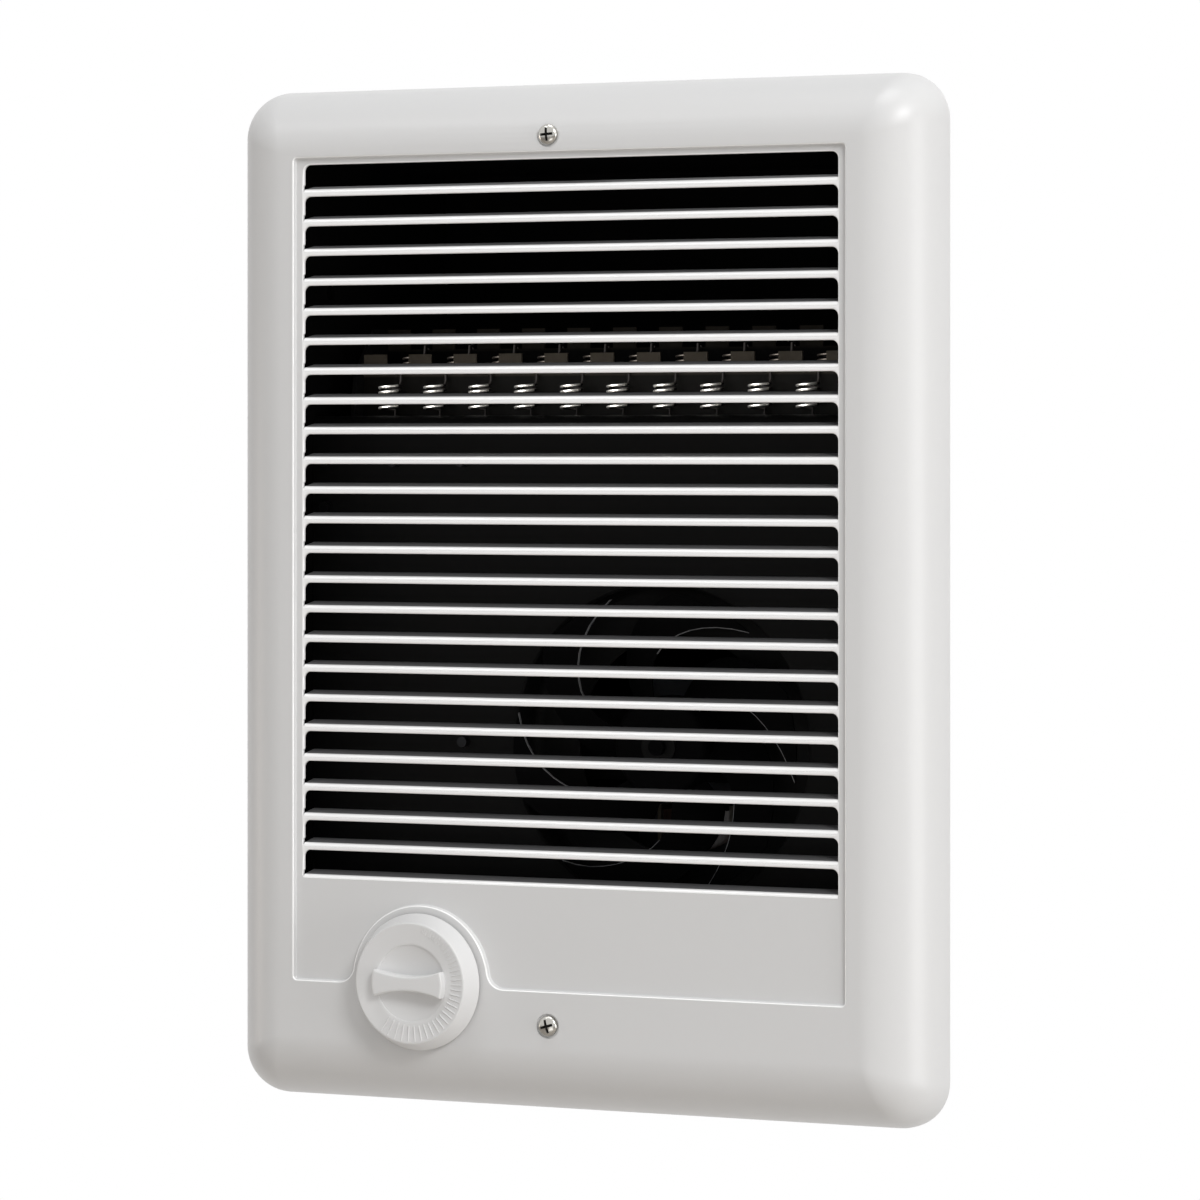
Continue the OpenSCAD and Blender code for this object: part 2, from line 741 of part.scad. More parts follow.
// Copper rings that shade one side of each pole
module shading_rings() color("#b0683c") motor_place()
    for (turn = [0, 180]) rotate([0, 0, turn]) difference() {
        plate(-stack_w / 2 - ring_t, ring_y, -stack_w / 2 + ring_in + ring_t, ring_y + ring_w,
              stack_end - ring_t, stack_z + ring_t);
        plate(-stack_w / 2, ring_y - cut, -stack_w / 2 + ring_in, ring_y + ring_w + cut,
              stack_end, stack_z);
    }

bobbin_w = 25;
bobbin_t = 1.2;
bobbin_gap = 0.3;
winding_t = 8;
flange_over = 1.5;

// Box round the lower leg of the stack, grown by grow, between x0 and x1
module leg_box(grow, x0, x1) {
    plate(x0, -window_low - leg_h - grow, x1, -window_low + grow, stack_end - grow, stack_z + grow);
}

module coil_bobbin() color("#d9d3c2") motor_place() {
    tube_grow = bobbin_gap + bobbin_t;
    difference() {
        union() {
            leg_box(tube_grow, -bobbin_w / 2, bobbin_w / 2);
            for (x = [-bobbin_w / 2, bobbin_w / 2 - bobbin_t])
                leg_box(tube_grow + winding_t + flange_over, x, x + bobbin_t);
        }
        leg_box(bobbin_gap, -bobbin_w, bobbin_w);
    }
}

module field_coil() color("#7a3f22") motor_place() difference() {
    inner = bobbin_w / 2 - bobbin_t;
    leg_box(bobbin_gap + bobbin_t + winding_t, -inner, inner);
    leg_box(bobbin_gap + bobbin_t, -inner - cut, inner + cut);
}

motor_tab_l = 5;
motor_tab_z = -8;

module motor_terminals() color("#c8a352") motor_place()
    for (s = [-1, 1]) {
        x = s * (bobbin_w / 2 - bobbin_t / 2);
        foot = -window_low - leg_h - bobbin_gap - bobbin_t - winding_t - flange_over;
        plate(x - 0.4, foot - motor_tab_l, x + 0.4, foot, stack_z + motor_tab_z - 3, stack_z + motor_tab_z + 3);
    }

// Bridge that carries a bearing over the rotor; side 1 is the front, -1 the rear
module bearing_bridge(side) {
    face = side > 0 ? stack_z : stack_end;
    foot_in = 14;
    crown = 10.5;
    difference() {
        union() {
            translate([0, 7, face]) rotate([90, 0, 0]) linear_extrude(14)
                polygon([
                    for (p = [
                        [-stack_w / 2, 0], [-foot_in, 0], [-crown, bridge_rise], [crown, bridge_rise],
                        [foot_in, 0], [stack_w / 2, 0], [stack_w / 2, foot_t],
                        [foot_in + 1, foot_t], [crown + 1, foot_t + bridge_rise],
                        [-crown - 1, foot_t + bridge_rise], [-foot_in - 1, foot_t], [-stack_w / 2, foot_t]
                    ]) [p[0], side * p[1]]
                ]);
            rod(0, 0, min(face + side * bridge_rise, face + side * (bridge_rise + foot_t + boss_l)),
                max(face + side * bridge_rise, face + side * (bridge_rise + foot_t + boss_l)), boss_d);
        }
        rod(0, 0, face - 30, face + 30, bush_d + 2 * press_gap);
        for (s = [-1, 1]) rod(s * bolt_off, 0, face - 10, face + 10, motor_bolt_d + 2 * hole_fit);
    }
}

module front_bearing_bracket() color("#a7a9ab") motor_place() bearing_bridge(1);
module rear_bearing_bracket() color("#a7a9ab") motor_place() bearing_bridge(-1);

module bearings() color("#a5793f") motor_place() {
    long = foot_t + boss_l;
    for (z = [stack_z + bridge_rise, stack_end - bridge_rise - long]) difference() {
        rod(0, 0, z, z + long, bush_d);
        rod(0, 0, z - cut, z + long + cut, shaft_d + 2 * run_fit);
    }
}

strap_half = mouth_d / 2 + 12;
strap_foot = 10;
strap_foot_t = 1.5;

module motor_strap() color("#2b2b2d") motor_place() difference() {
    union() {
        plate(-strap_half, -strap_h / 2, strap_half, strap_h / 2, -strap_z - strap_t, -strap_z);
        for (s = [-1, 1]) {
            x = s > 0 ? strap_half - strap_t : -strap_half;
            plate(x, -strap_h / 2, x + strap_t, strap_h / 2, -strap_z - strap_t, deck_back_z);
            plate(s > 0 ? strap_half - strap_t : -strap_half - strap_foot, -strap_h / 2,
                  s > 0 ? strap_half + strap_foot : -strap_half + strap_t, strap_h / 2,
                  deck_back_z - strap_foot_t, deck_back_z);
        }
    }
    rod(0, 0, -strap_z - strap_t - cut, -strap_z + cut, 16);
    for (s = [-1, 1]) {
        rod(s * bolt_off, 0, -strap_z - strap_t - cut, -strap_z + cut, motor_bolt_d + 2 * hole_fit);
        rod(s * (strap_half + strap_foot / 2), 0, deck_back_z - strap_foot_t - cut,
            deck_back_z + cut, sheet_screw_d + 2 * hole_fit);
    }
}

module motor_spacers() color("#b9bbbd") motor_place()
    for (s = [-1, 1]) difference() {
        rod(s * bolt_off, 0, -strap_z - strap_t - spacer_l, -strap_z - strap_t, motor_bolt_d + 3.4);
        rod(s * bolt_off, 0, -strap_z - strap_t - spacer_l - cut, -strap_z - strap_t + cut,
            motor_bolt_d + 2 * hole_fit);
    }

nut_h = 3.2;

module motor_bolts() color("#b9bbbd") motor_place()
    for (s = [-1, 1]) {
        rod(s * bolt_off, 0, stack_end - foot_t - nut_h - 1.5, -strap_z + 0.5, motor_bolt_d);
        translate([s * bolt_off, 0, -strap_z]) cylinder(d = 7 / cos(30), h = bolt_head, $fn = 6);
    }

module motor_nuts() color("#b9bbbd") motor_place()
    for (s = [-1, 1])
        hex_nut(s * bolt_off, 0, stack_end - foot_t, motor_bolt_d + 2 * thread_fit, 7, nut_h);

// ---------------------------------------------------------------- heating element

element_x = (card_room_left - card_room_right) / 2;
element_half = (in_w - card_room_left - card_room_right) / 2;
tab_pitch = (2 * element_half - tab_w) / (tab_count - 1);
card_top = deck_top + mica_up;
card_notch = card_top - tab_h;
card_low = card_notch - mica_h;
tongue_l = 2;
tongue_in = 2.5;
side_t = 1;
side_foot = 8;
side_low = deck_top - 34;
side_foot_top = deck_top - 9;

// Mica card with tabs along its top and a tongue at each end, from z down to z - mica_t
module mica_card(z, top) {
    difference() {
        plate(element_x - element_half - tongue_l, card_low, element_x + element_half + tongue_l,
              top, z - mica_t, z);
        for (i = [0 : tab_count - 2]) {
            x = element_x - element_half + tab_w + i * tab_pitch;
            plate(x, top - tab_h, x + tab_pitch - tab_w, top + cut, z - mica_t - cut, z + cut);
        }
        for (s = [-1, 1]) {
            x0 = s > 0 ? element_x + element_half : element_x - element_half - tongue_l - cut;
            x1 = x0 + tongue_l + cut;
            plate(x0, card_low - cut, x1, card_low + tongue_in, z - mica_t - cut, z + cut);
            plate(x0, top - tab_h - tongue_in, x1, top + cut, z - mica_t - cut, z + cut);
        }
    }
}

module front_mica_card() color("#6b6459") stand() mica_card(-mica_z, card_top);
module rear_mica_card() color("#6b6459") stand() mica_card(-mica_z - mica_gap, card_top + mica_step);

// Side bracket that holds both cards by their tongues; side -1 is the left one
module element_bracket(side) {
    x_in = element_x + side * element_half;
    x_out = x_in + side * side_t;
    back = -mica_z - mica_gap - 5;
    difference() {
        union() {
            translate([min(x_in, x_out), 0, 0]) rotate([90, 0, 90]) linear_extrude(side_t) polygon([
                [side_low, deck_back_z], [side_foot_top, deck_back_z],
                [side_foot_top, deck_back_z - 6], [card_notch, deck_back_z - 9],
                [card_top + mica_step, back + 14], [card_top + mica_step, back],
                [card_low - 10, back], [side_low, deck_back_z - 12]
            ]);
            plate(min(x_in, x_in + side * side_foot), side_low, max(x_in, x_in + side * side_foot),
                  side_foot_top, deck_back_z - side_t, deck_back_z);
        }
        for (card = [[-mica_z, card_notch], [-mica_z - mica_gap, card_notch + mica_step]])
            plate(min(x_in, x_out) - cut, card_low + tongue_in - slip / 2, max(x_in, x_out) + cut,
                  card[1] - tongue_in + slip / 2, card[0] - mica_t - slip / 2, card[0] + slip / 2);
        for (y = side_screw_ys)
            rod(x_in + side * side_foot * 0.6, y, deck_back_z - side_t - cut, deck_back_z + cut,
                sheet_screw_d + 2 * hole_fit);
    }
}

side_screw_ys = [side_low + 6, side_foot_top - 5];

module element_bracket_left() color("#3a3a3c") stand() element_bracket(-1);
module element_bracket_right() color("#3a3a3c") stand() element_bracket(1);

// Resistance wire: it climbs in curls in front of the front card, hooks over that card between
// two tabs, climbs in curls in front of the rear card, hooks over it too, comes straight down
// behind it and passes under both cards to the next gap
front_row_z = -mica_z + coil_off;
rear_row_z = -mica_z - mica_gap + coil_off;
near_front_z = front_row_z - curl_r;
near_rear_z = rear_row_z - curl_r;
behind_z = -mica_z - mica_gap - mica_t - 1.6;
coil_foot = card_low + 5;
// Turns of the two rows, each of which ends on the right, a little off the card
front_curls = curl_count - 0.125;
rear_curls = curl_count - 0.625;
rear_lift = mica_step + 1.2;
coil_head = coil_foot + front_curls * curl_pitch;
rear_head = coil_head + rear_lift;
rear_foot = rear_head - rear_curls * curl_pitch;
// Place of the wire right of the middle of the curls, where it passes over a card
hook_right = 1.7;
hook_y = card_notch + coil_wire_d / 2 + 0.5;
link_y = card_low - coil_wire_d / 2 - 0.55;
// Depth of the clip at the far end of the wire
far_end_z = -mica_z - mica_t - coil_off + curl_r;
terminal_y = card_low - 5;
terminal_in = [7, 7];
site_count = tab_count - 2;
curl_rings = 8;

function site_x(k) = element_x - element_half + tab_w + (tab_pitch - tab_w) / 2 + k * tab_pitch;

// Upright curls round (x, z) that climb from height y0 and start at the angle a0
function curls(x, z, y0, a0, turns) = [
    for (i = [0 : turns * curl_rings])
        let (t = i / curl_rings, a = a0 - 360 * t)
        [x + curl_r * cos(a), y0 + curl_pitch * t, z + curl_r * sin(a)]
];

function site_path(k) =
    let (x = site_x(k), over = x + hook_right, low = 2.6, up = 1)
    concat(
        curls(x, front_row_z, coil_foot, -90, front_curls),
        [[over + 0.4, coil_head + up, near_front_z], [over, hook_y, -mica_z + 0.6],
         [over, hook_y, -mica_z - mica_t - 0.8], [x + 0.8, rear_foot, rear_row_z + curl_r + 1.4]],
        curls(x, rear_row_z, rear_foot, 90, rear_curls),
        [[over + 0.4, rear_head + up, near_rear_z], [over, hook_y + mica_step, near_rear_z - 1],
         [over, hook_y + mica_step, behind_z + 0.6], [over, hook_y + mica_step - 1.5, behind_z],
         [over, link_y + low, behind_z]],
        k == site_count - 1 ? [] : [
            [over + low, link_y, behind_z + 1],
            [x + tab_pitch - low, link_y, near_front_z],
            [x + tab_pitch, link_y + low, near_front_z]
        ]
    );

terminal_x = [element_x - element_half + terminal_in[0], element_x + element_half - terminal_in[1]];

function coil_path() =
    let (first = site_x(0), end = site_x(site_count - 1))
    concat(
        [[terminal_x[0], terminal_y, near_front_z], [terminal_x[0], link_y - 1, near_front_z],
         [terminal_x[0] + 2, link_y + 0.6, near_front_z], [first, link_y + 2.6, near_front_z]],
        [for (k = [0 : site_count - 1]) each site_path(k)],
        [[end + hook_right + 2.6, link_y, behind_z + 1], [terminal_x[1] - 2, link_y, far_end_z],
         [terminal_x[1], link_y - 1.5, far_end_z], [terminal_x[1], terminal_y, far_end_z]]
    );

// Least distance between two parts of a path more than skip points apart, less the wire
function least_gap(path, skip, d) = min([
    for (i = [0 : len(path) - 1 - skip]) for (j = [i + skip : len(path) - 1])
        norm(path[i] - path[j])
]) - d;

module heating_coil() color("#b9b4aa") stand() {
    echo(least_gap_of_the_coil = least_gap(concat(site_path(0), site_path(1)), 5, coil_wire_d));
    tube(coil_path(), coil_wire_d, 6);
}

insulator_w = 4;
insulator_h = 10;
strip_t = 0.9;
strip_half = 3.6;
strip_mid_z = [near_front_z, far_end_z];

// Ceramic blocks that keep the two end clips off the brackets
module element_insulators() color("#d8d5cb") stand()
    for (side = [-1, 1]) {
        x_in = element_x + side * element_half;
        z = strip_mid_z[side < 0 ? 0 : 1];
        plate(min(x_in, x_in - side * insulator_w), terminal_y - insulator_h + 1,
              max(x_in, x_in - side * insulator_w), terminal_y + 1, z - 5, z + 5);
    }

// Brass angle clips that the wire ends stand on
module element_terminals() color("#c8a352") stand()
    for (side = [-1, 1]) {
        x_in = element_x + side * (element_half - insulator_w);
        z = strip_mid_z[side < 0 ? 0 : 1];
        plate(min(x_in, x_in - side * 5.6), terminal_y - strip_t, max(x_in, x_in - side * 5.6),
              terminal_y, z - strip_half, z + strip_half);
        plate(min(x_in, x_in - side * strip_t), terminal_y - 7, max(x_in, x_in - side * strip_t),
              terminal_y, z - strip_half, z + strip_half);
    }

// ---------------------------------------------------------------- thermal limit

limit_x = 40.6 - in_w / 2;
limit_y = deck_top - 14;
limit_d = 16;
limit_h = 7;
limit_flange_t = 1;
limit_flange_half = 15;
limit_screw_off = 11.6;
limit_tab_off = 4;
limit_tab_l = 7;

module limit_switch() color("#2a2522") stand() translate([limit_x, limit_y, 0]) difference() {
    union() {
        plate(-limit_flange_half, -4.5, limit_flange_half, 4.5, deck_back_z - limit_flange_t, deck_back_z);
        rod(0, 0, deck_back_z - limit_flange_t - limit_h, deck_back_z, limit_d);
    }
    for (s = [-1, 1]) rod(s * limit_screw_off, 0, deck_back_z - limit_flange_t - cut,
                          deck_back_z + cut, sheet_screw_d + 2 * hole_fit);
}

limit_back = deck_back_z - limit_flange_t - limit_h;

module limit_terminals() color("#c8a352") stand()
    for (s = [-1, 1])
        plate(limit_x + s * limit_tab_off - 0.4, limit_y - 3, limit_x + s * limit_tab_off + 0.4,
              limit_y + 3, limit_back - limit_tab_l, limit_back);

// ---------------------------------------------------------------- thermostat and knob

stat_gap = 0.3;
stat_plate_t = 0.9;
stat_down = 14;
stat_up = 18;
stat_low = knob_y - stat_down;
stat_high = knob_y + stat_up;
stat_screw_off = 7;
stat_z = can_t + stat_gap + stat_plate_t;
stat_front = stat_z + stat_t;
stat_floor = 2;
cavity_r = 12.2;
cam_r = 9;
lug_r = 11.6;
lug_angle = 20;
stop_gap = 2;
stop_root = 0.6;
cam_z = stat_z + 4;
cam_t = 3;
cam_start = 200;
chamber_low = stat_up - 5;
chamber_high = stat_up - 1.6;
stat_foot_half = 12;
stat_foot_l = 10;
bushing_d = 9.6;
bushing_l = 2;
cover_t = 1;

module stat_place() stand() translate([knob_x, knob_y, 0]) children();

// Steel bracket that carries the thermostat in front of the deck
module thermostat_bracket() color("#8f9193") stand() difference() {
    union() {
        plate(knob_x - stat_w / 2 - 1, stat_low, knob_x + stat_w / 2 + 1, stat_high,
              stat_z - stat_plate_t, stat_z);
        plate(knob_x - stat_foot_half, stat_high - stat_plate_t, knob_x + stat_foot_half, stat_high,
              -deck_z, stat_z);
        plate(knob_x - stat_foot_half, stat_high - stat_plate_t, knob_x + stat_foot_half,
              stat_high + stat_foot_l, -deck_z, -deck_z + stat_plate_t);
    }
    for (s = [-1, 1]) rod(knob_x + s * stat_screw_off, stat_high + stat_foot_l / 2, -deck_z - cut,
                          -deck_z + stat_plate_t + cut, sheet_screw_d + 2 * hole_fit);
}

// Moulded base with the cam well, the stop and the chamber of the bimetal blade
module thermostat_base() color("#3b2f2a") stat_place() {
    difference() {
        plate(-stat_w / 2, -stat_down, stat_w / 2, stat_up, stat_z, stat_front);
        rod(0, 0, stat_z + stat_floor, stat_front + cut, 2 * cavity_r);
        rod(0, 0, stat_z + stat_floor - 1, stat_front, stem_d + 2 * run_fit);
        plate(-stat_w / 2 + 2.5, chamber_low, stat_w / 2 - 2.5, chamber_high,
              stat_z + stat_floor, stat_front + cut);
    }
    // stop that the cam lug meets at both ends of its turn
    stop_angle = 360 - knob_turn - lug_angle - 2 * stop_gap;
    rotate([0, 0, cam_start + lug_angle / 2 + stop_gap])
        translate([0, 0, stat_z + stat_floor - stop_root])
            rotate_extrude(angle = stop_angle) translate([cam_r + 0.8, 0])
                square([cavity_r + stop_root - cam_r - 0.8, stat_t - 4 + stop_root]);
}

module thermostat_cover() color("#9b9da0") stat_place() difference() {
    union() {
        plate(-stat_w / 2, -stat_down, stat_w / 2, stat_up, stat_front, stat_front + cover_t);
        rod(0, 0, stat_front, stat_front + cover_t + bushing_l, bushing_d);
    }
    rod(0, 0, stat_front - cut, stat_front + cover_t + bushing_l + cut, stem_d + 2 * run_fit);
}

// Bimetal blade, seated on the floor of its chamber
module thermostat_bimetal() color("#b98d62") stat_place()
    plate(-stat_w / 2 + 3, chamber_low + 1.2, stat_w / 2 - 3, chamber_low + 1.8,
          stat_z + stat_floor, stat_z + stat_floor + 7);

stat_tab_l = 8;
stat_tab_y = [2, 8];
stat_tab_z = [stat_z + 3, stat_z + 8.4];

module thermostat_terminals() color("#c8a352") stat_place()
    for (z = stat_tab_z)
        plate(-stat_w / 2 - stat_tab_l, stat_tab_y[0], -stat_w / 2, stat_tab_y[1], z, z + 0.8);

// Shaft with its cam disc, stop lug and the flat that drives the knob
stem_in = 2.5;
knob_z = grille_d + knob_gap;
stem_end = knob_z + stem_in;
flat_start = stat_front + cover_t + bushing_l + 0.2;

// Round bar of diameter d with a flat cut off at flat from its edge, from z0 to z1
module d_bar(z0, z1, d, flat) {
    difference() {
        rod(0, 0, z0, z1, d);
        plate(-d, d / 2 - flat, d, d, z0 - cut, z1 + cut);
    }
}

module thermostat_shaft() color("#c9b27c") stat_place() {
    rod(0, 0, stat_z + stat_floor - 0.9, flat_start, stem_d);
    d_bar(flat_start, stem_end, stem_d, stem_flat);
    rod(0, 0, cam_z, cam_z + cam_t, 2 * cam_r);
    rotate([0, 0, cam_start - lug_angle / 2]) translate([0, 0, cam_z])
        rotate_extrude(angle = lug_angle) translate([cam_r - 1, 0]) square([lug_r - cam_r + 1, cam_t]);
}

hub_d = 10;
hub_gap = 0.8;
hub_start = flat_start + 0.4;
core_d = 24;
skirt_t = 1.5;
bore_fit = 0.03;
dish_ball = 40;

module grip_plan() {
    reach = dish_d / 2 + 0.5;
    sag = (grip_end_w - grip_mid_w) / 2;
    r = (reach * reach + sag * sag) / (2 * sag);
    difference() {
        intersection() {
            circle(d = 2 * reach);
            square([2 * reach + 1, grip_end_w], center = true);
        }
        for (s = [-1, 1]) translate([0, s * (grip_mid_w / 2 + r)]) circle(r = r);
    }
}

// Turned body of the knob: a thick core, a thin face and skirt, and the hub behind
module knob_body() {
    skirt = knob_skirt_d / 2;
    face = knob_face_d / 2;
    difference() {
        union() {
            rotate_extrude() polygon([
                [0, 0], [core_d / 2, 0], [core_d / 2, knob_h - skirt_t - 0.3],
                [face - skirt_t - 0.3, knob_h - skirt_t - 0.3], [skirt - skirt_t, 0], [skirt, 0],
                [skirt, 0.6], [face + 0.35, knob_h - 0.5], [face - 0.1, knob_h],
                [dish_d / 2 + 0.8, knob_h - 0.4], [0, knob_h - 0.4]
            ]);
            rod(0, 0, hub_start - knob_z, 1, hub_d);
        }
        // two finger dishes, one each side of the grip bar
        intersection() {
            translate([0, 0, knob_h - 0.4 - dish_depth + dish_ball]) sphere(r = dish_ball);
            rod(0, 0, 0, knob_h + cut, dish_d);
        }
    }
}

module knob() color("#f1f1f1") stat_place() translate([0, 0, knob_z]) difference() {
    union() {
        knob_body();
        translate([0, 0, 0.5]) linear_extrude(knob_h - 0.9 + grip_up) grip_plan();
    }
    d_bar(hub_start - knob_z - cut, stem_in + 0.2, stem_d + 2 * bore_fit, stem_flat);
}

// ---------------------------------------------------------------- sheet screws

sheet_screw_d = 3.2;
sheet_screw_l = 4.6;
sheet_screw_head = 6;
strap_screw_places = [for (s = [-1, 1]) [fan_x + s * (strap_half + strap_foot / 2), fan_y, strap_foot_t]];
side_screw_places = [
    for (s = [-1, 1]) for (y = side_screw_ys)
        [element_x + s * (element_half + side_foot * 0.6), y, side_t]
];
limit_screw_places = [for (s = [-1, 1]) [limit_x + s * limit_screw_off, limit_y, limit_flange_t]];
stat_screw_places = [for (s = [-1, 1]) [knob_x + s * stat_screw_off, stat_high + stat_foot_l / 2, stat_plate_t]];
back_screw_places = concat(strap_screw_places, side_screw_places, limit_screw_places);
sheet_screw_places = concat(back_screw_places, stat_screw_places);

module sheet_screws() color("#8f9092") stand() {
    for (p = back_screw_places)
        translate([p[0], p[1], deck_back_z - p[2]]) rotate([180, 0, 0])
            pan_screw(0, 0, 0, sheet_screw_d, sheet_screw_l, sheet_screw_head, 2);
    for (p = stat_screw_places)
        pan_screw(p[0], p[1], -deck_z + p[2], sheet_screw_d, sheet_screw_l, sheet_screw_head, 2);
}

// ---------------------------------------------------------------- inner leads

lead_d = 2.6;
lead_steps = 3;
lead_sides = 8;
// Gap between the end of a lead and the tab it is joined to
lead_seat = 0.3;
stat_lead_x = knob_x - stat_w / 2 - stat_tab_l - lead_seat;
stat_lead_y = knob_y + (stat_tab_y[0] + stat_tab_y[1]) / 2;
grommet_y = can_floor + grommet_up;
limit_lead_z = limit_back - limit_tab_l - lead_seat;
clip_lead_y = terminal_y - strip_t - lead_seat;
motor_lead_y = fan_y - window_low - leg_h - bobbin_gap - bobbin_t - winding_t - flange_over
               - motor_tab_l - lead_seat;
motor_lead_z = stack_z + motor_tab_z;
motor_lead_x = bobbin_w / 2 - bobbin_t / 2;

// Straight runs of the leads: beside the left wall, beside the right wall, over the floor
left_run = 10 - in_w / 2;
right_run = in_w / 2 - 10;
low_run = can_floor + 6;
// Depths of the leads behind the deck, and their half distance in the grommet
lead_back_z = deck_back_z - 11;
lead_side = 1.9;

module lead(points) stand() tube(smooth(points, lead_steps), lead_d, lead_sides);

module wire_thermostat_to_limit() color("#8c1f1c") {
    x = limit_x + limit_tab_off;
    y = grommet_y - lead_side;
    z = stat_tab_z[0] + 0.4;
    lead([
        [stat_lead_x, stat_lead_y, z], [stat_lead_x - 3, stat_lead_y, z],
        [grommet_x - 6.5, y - 5.6, z - 4], [grommet_x - 3, y - 1.2, -deck_z + 6],
        [grommet_x, y, -deck_z + 1], [grommet_x, y, deck_back_z - 3],
        [left_run + 8.6, y + 4, lead_back_z + 2], [left_run + 1.6, y + 25, lead_back_z],
        [left_run, fan_y + 7, lead_back_z], [left_run + 2.6, limit_y - 45, lead_back_z],
        [limit_x - 18, limit_y - 32, lead_back_z - 3], [limit_x - 4, limit_y - 26, lead_back_z - 9],
        [x - 1, limit_y - 14, lead_back_z - 12], [x, limit_y - 2, limit_lead_z - 6],
        [x, limit_y, limit_lead_z - 3], [x, limit_y, limit_lead_z]
    ]);
}

module wire_limit_to_element() color("#8c1f1c") {
    x = limit_x - limit_tab_off;
    clip_x = terminal_x[0] + 0.4;
    lead([
        [x, limit_y, limit_lead_z], [x, limit_y, limit_lead_z - 3],
        [x - 3, limit_y - 3, limit_lead_z - 5], [x - 11, limit_y - 7, limit_lead_z - 3],
        [clip_x, terminal_y - 8, near_front_z - 1], [clip_x, terminal_y - 3.5, near_front_z],
        [clip_x, clip_lead_y, near_front_z]
    ]);
}

module wire_element_to_motor() color("#d8d8d4") {
    clip_x = terminal_x[1] - 0.4;
    x = fan_x + motor_lead_x;
    z = motor_lead_z;
    lead([
        [clip_x, clip_lead_y, far_end_z], [clip_x, terminal_y - 4, far_end_z],
        [clip_x + 1.5, terminal_y - 11, far_end_z + 4], [right_run - 2.6, terminal_y - 30, z + 20],
        [right_run, fan_y + 27, z + 12], [right_run - 2.6, fan_y - 13, z + 4],
        [right_run - 18, low_run + 23, z], [right_run - 40, low_run + 3, z - 2],
        [x + 6, low_run, z - 1], [x, motor_lead_y - 5, z], [x, motor_lead_y - 2.6, z],
        [x, motor_lead_y, z]
    ]);
}

module wire_motor_to_thermostat() color("#d8d8d4") {
    x = fan_x - motor_lead_x;
    y = grommet_y + lead_side;
    z = stat_tab_z[1] + 0.4;
    lead([
        [x, motor_lead_y, motor_lead_z], [x, motor_lead_y - 2.6, motor_lead_z],
        [x - 3.6, low_run + 3, motor_lead_z], [x - 17, low_run, motor_lead_z + 4],
        [x - 40, low_run + 2, motor_lead_z + 14], [grommet_x + 15, low_run + 8, motor_lead_z + 26],
        [grommet_x + 6, y - 2, lead_back_z + 2], [grommet_x, y, deck_back_z - 3],
        [grommet_x, y, -deck_z + 1], [grommet_x - 4, y, -deck_z + 5.5],
        [grommet_x - 10, y - 3, -deck_z + 11], [grommet_x - 11, y - 9, z - 3],
        [stat_lead_x - 6, stat_lead_y, z], [stat_lead_x - 3, stat_lead_y, z],
        [stat_lead_x, stat_lead_y, z]
    ]);
}

wall_can();
ground_screw();
grille();
grille_screws();
fan_deck();
deck_screws();
wire_grommet();
fan_wheel();
fan_clip();
motor_shaft();
rotor();
stator_stack();
shading_rings();
coil_bobbin();
field_coil();
motor_terminals();
front_bearing_bracket();
rear_bearing_bracket();
bearings();
motor_strap();
sheet_screws();
motor_spacers();
motor_bolts();
motor_nuts();
element_bracket_left();
element_bracket_right();
element_insulators();
front_mica_card();
rear_mica_card();
heating_coil();
element_terminals();
limit_switch();
limit_terminals();
thermostat_bracket();
thermostat_base();
thermostat_cover();
thermostat_bimetal();
thermostat_terminals();
thermostat_shaft();
knob();
wire_thermostat_to_limit();
wire_limit_to_element();
wire_element_to_motor();
wire_motor_to_thermostat();
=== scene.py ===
"""Dresses the recessed bathroom fan heater: a white louvred grille with its knob, over a wall
can with a fan deck, a mica and wire element and a small motor.

Shapes are drawn lying on their back, in millimetres: x to the right, y up the wall and z out
of the wall into the room. upright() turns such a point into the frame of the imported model.
"""
import logging
import math
from dataclasses import dataclass
from enum import Enum
from typing import Callable, Iterable, Optional, Sequence

import bmesh
import bpy
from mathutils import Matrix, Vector
from mathutils.geometry import tessellate_polygon

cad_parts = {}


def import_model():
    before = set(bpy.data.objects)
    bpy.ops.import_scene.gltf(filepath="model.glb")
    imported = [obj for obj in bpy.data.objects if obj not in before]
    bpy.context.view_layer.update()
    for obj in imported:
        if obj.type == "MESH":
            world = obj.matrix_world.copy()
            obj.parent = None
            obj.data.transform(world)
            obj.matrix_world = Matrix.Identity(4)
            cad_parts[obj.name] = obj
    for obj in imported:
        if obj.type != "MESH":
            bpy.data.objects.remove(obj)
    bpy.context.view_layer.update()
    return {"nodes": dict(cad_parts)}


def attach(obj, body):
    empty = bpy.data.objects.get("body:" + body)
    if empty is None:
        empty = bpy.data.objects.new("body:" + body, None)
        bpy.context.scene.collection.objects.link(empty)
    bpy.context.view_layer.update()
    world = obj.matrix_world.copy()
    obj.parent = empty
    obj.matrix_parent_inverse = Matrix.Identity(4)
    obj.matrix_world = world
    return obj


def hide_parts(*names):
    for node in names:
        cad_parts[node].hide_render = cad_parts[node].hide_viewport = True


LOG = logging.getLogger("fan_heater")
MM = 0.001
# points closer than WELD become one and edges shorter than SLIVER go, in millimetres
WELD, SLIVER = 0.002, 0.0005
# scale at which the band texture shows about one rib for each unit
ONE_RIB = 0.3183
WHITE = (1.0, 1.0, 1.0, 1.0)
Point2 = tuple[float, float]
Point3 = tuple[float, float, float]


def upright(x: float, y: float, z: float) -> Vector:
    """Turns a lying point, in millimetres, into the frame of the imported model, in metres."""
    return Vector((x * MM, -z * MM, y * MM))


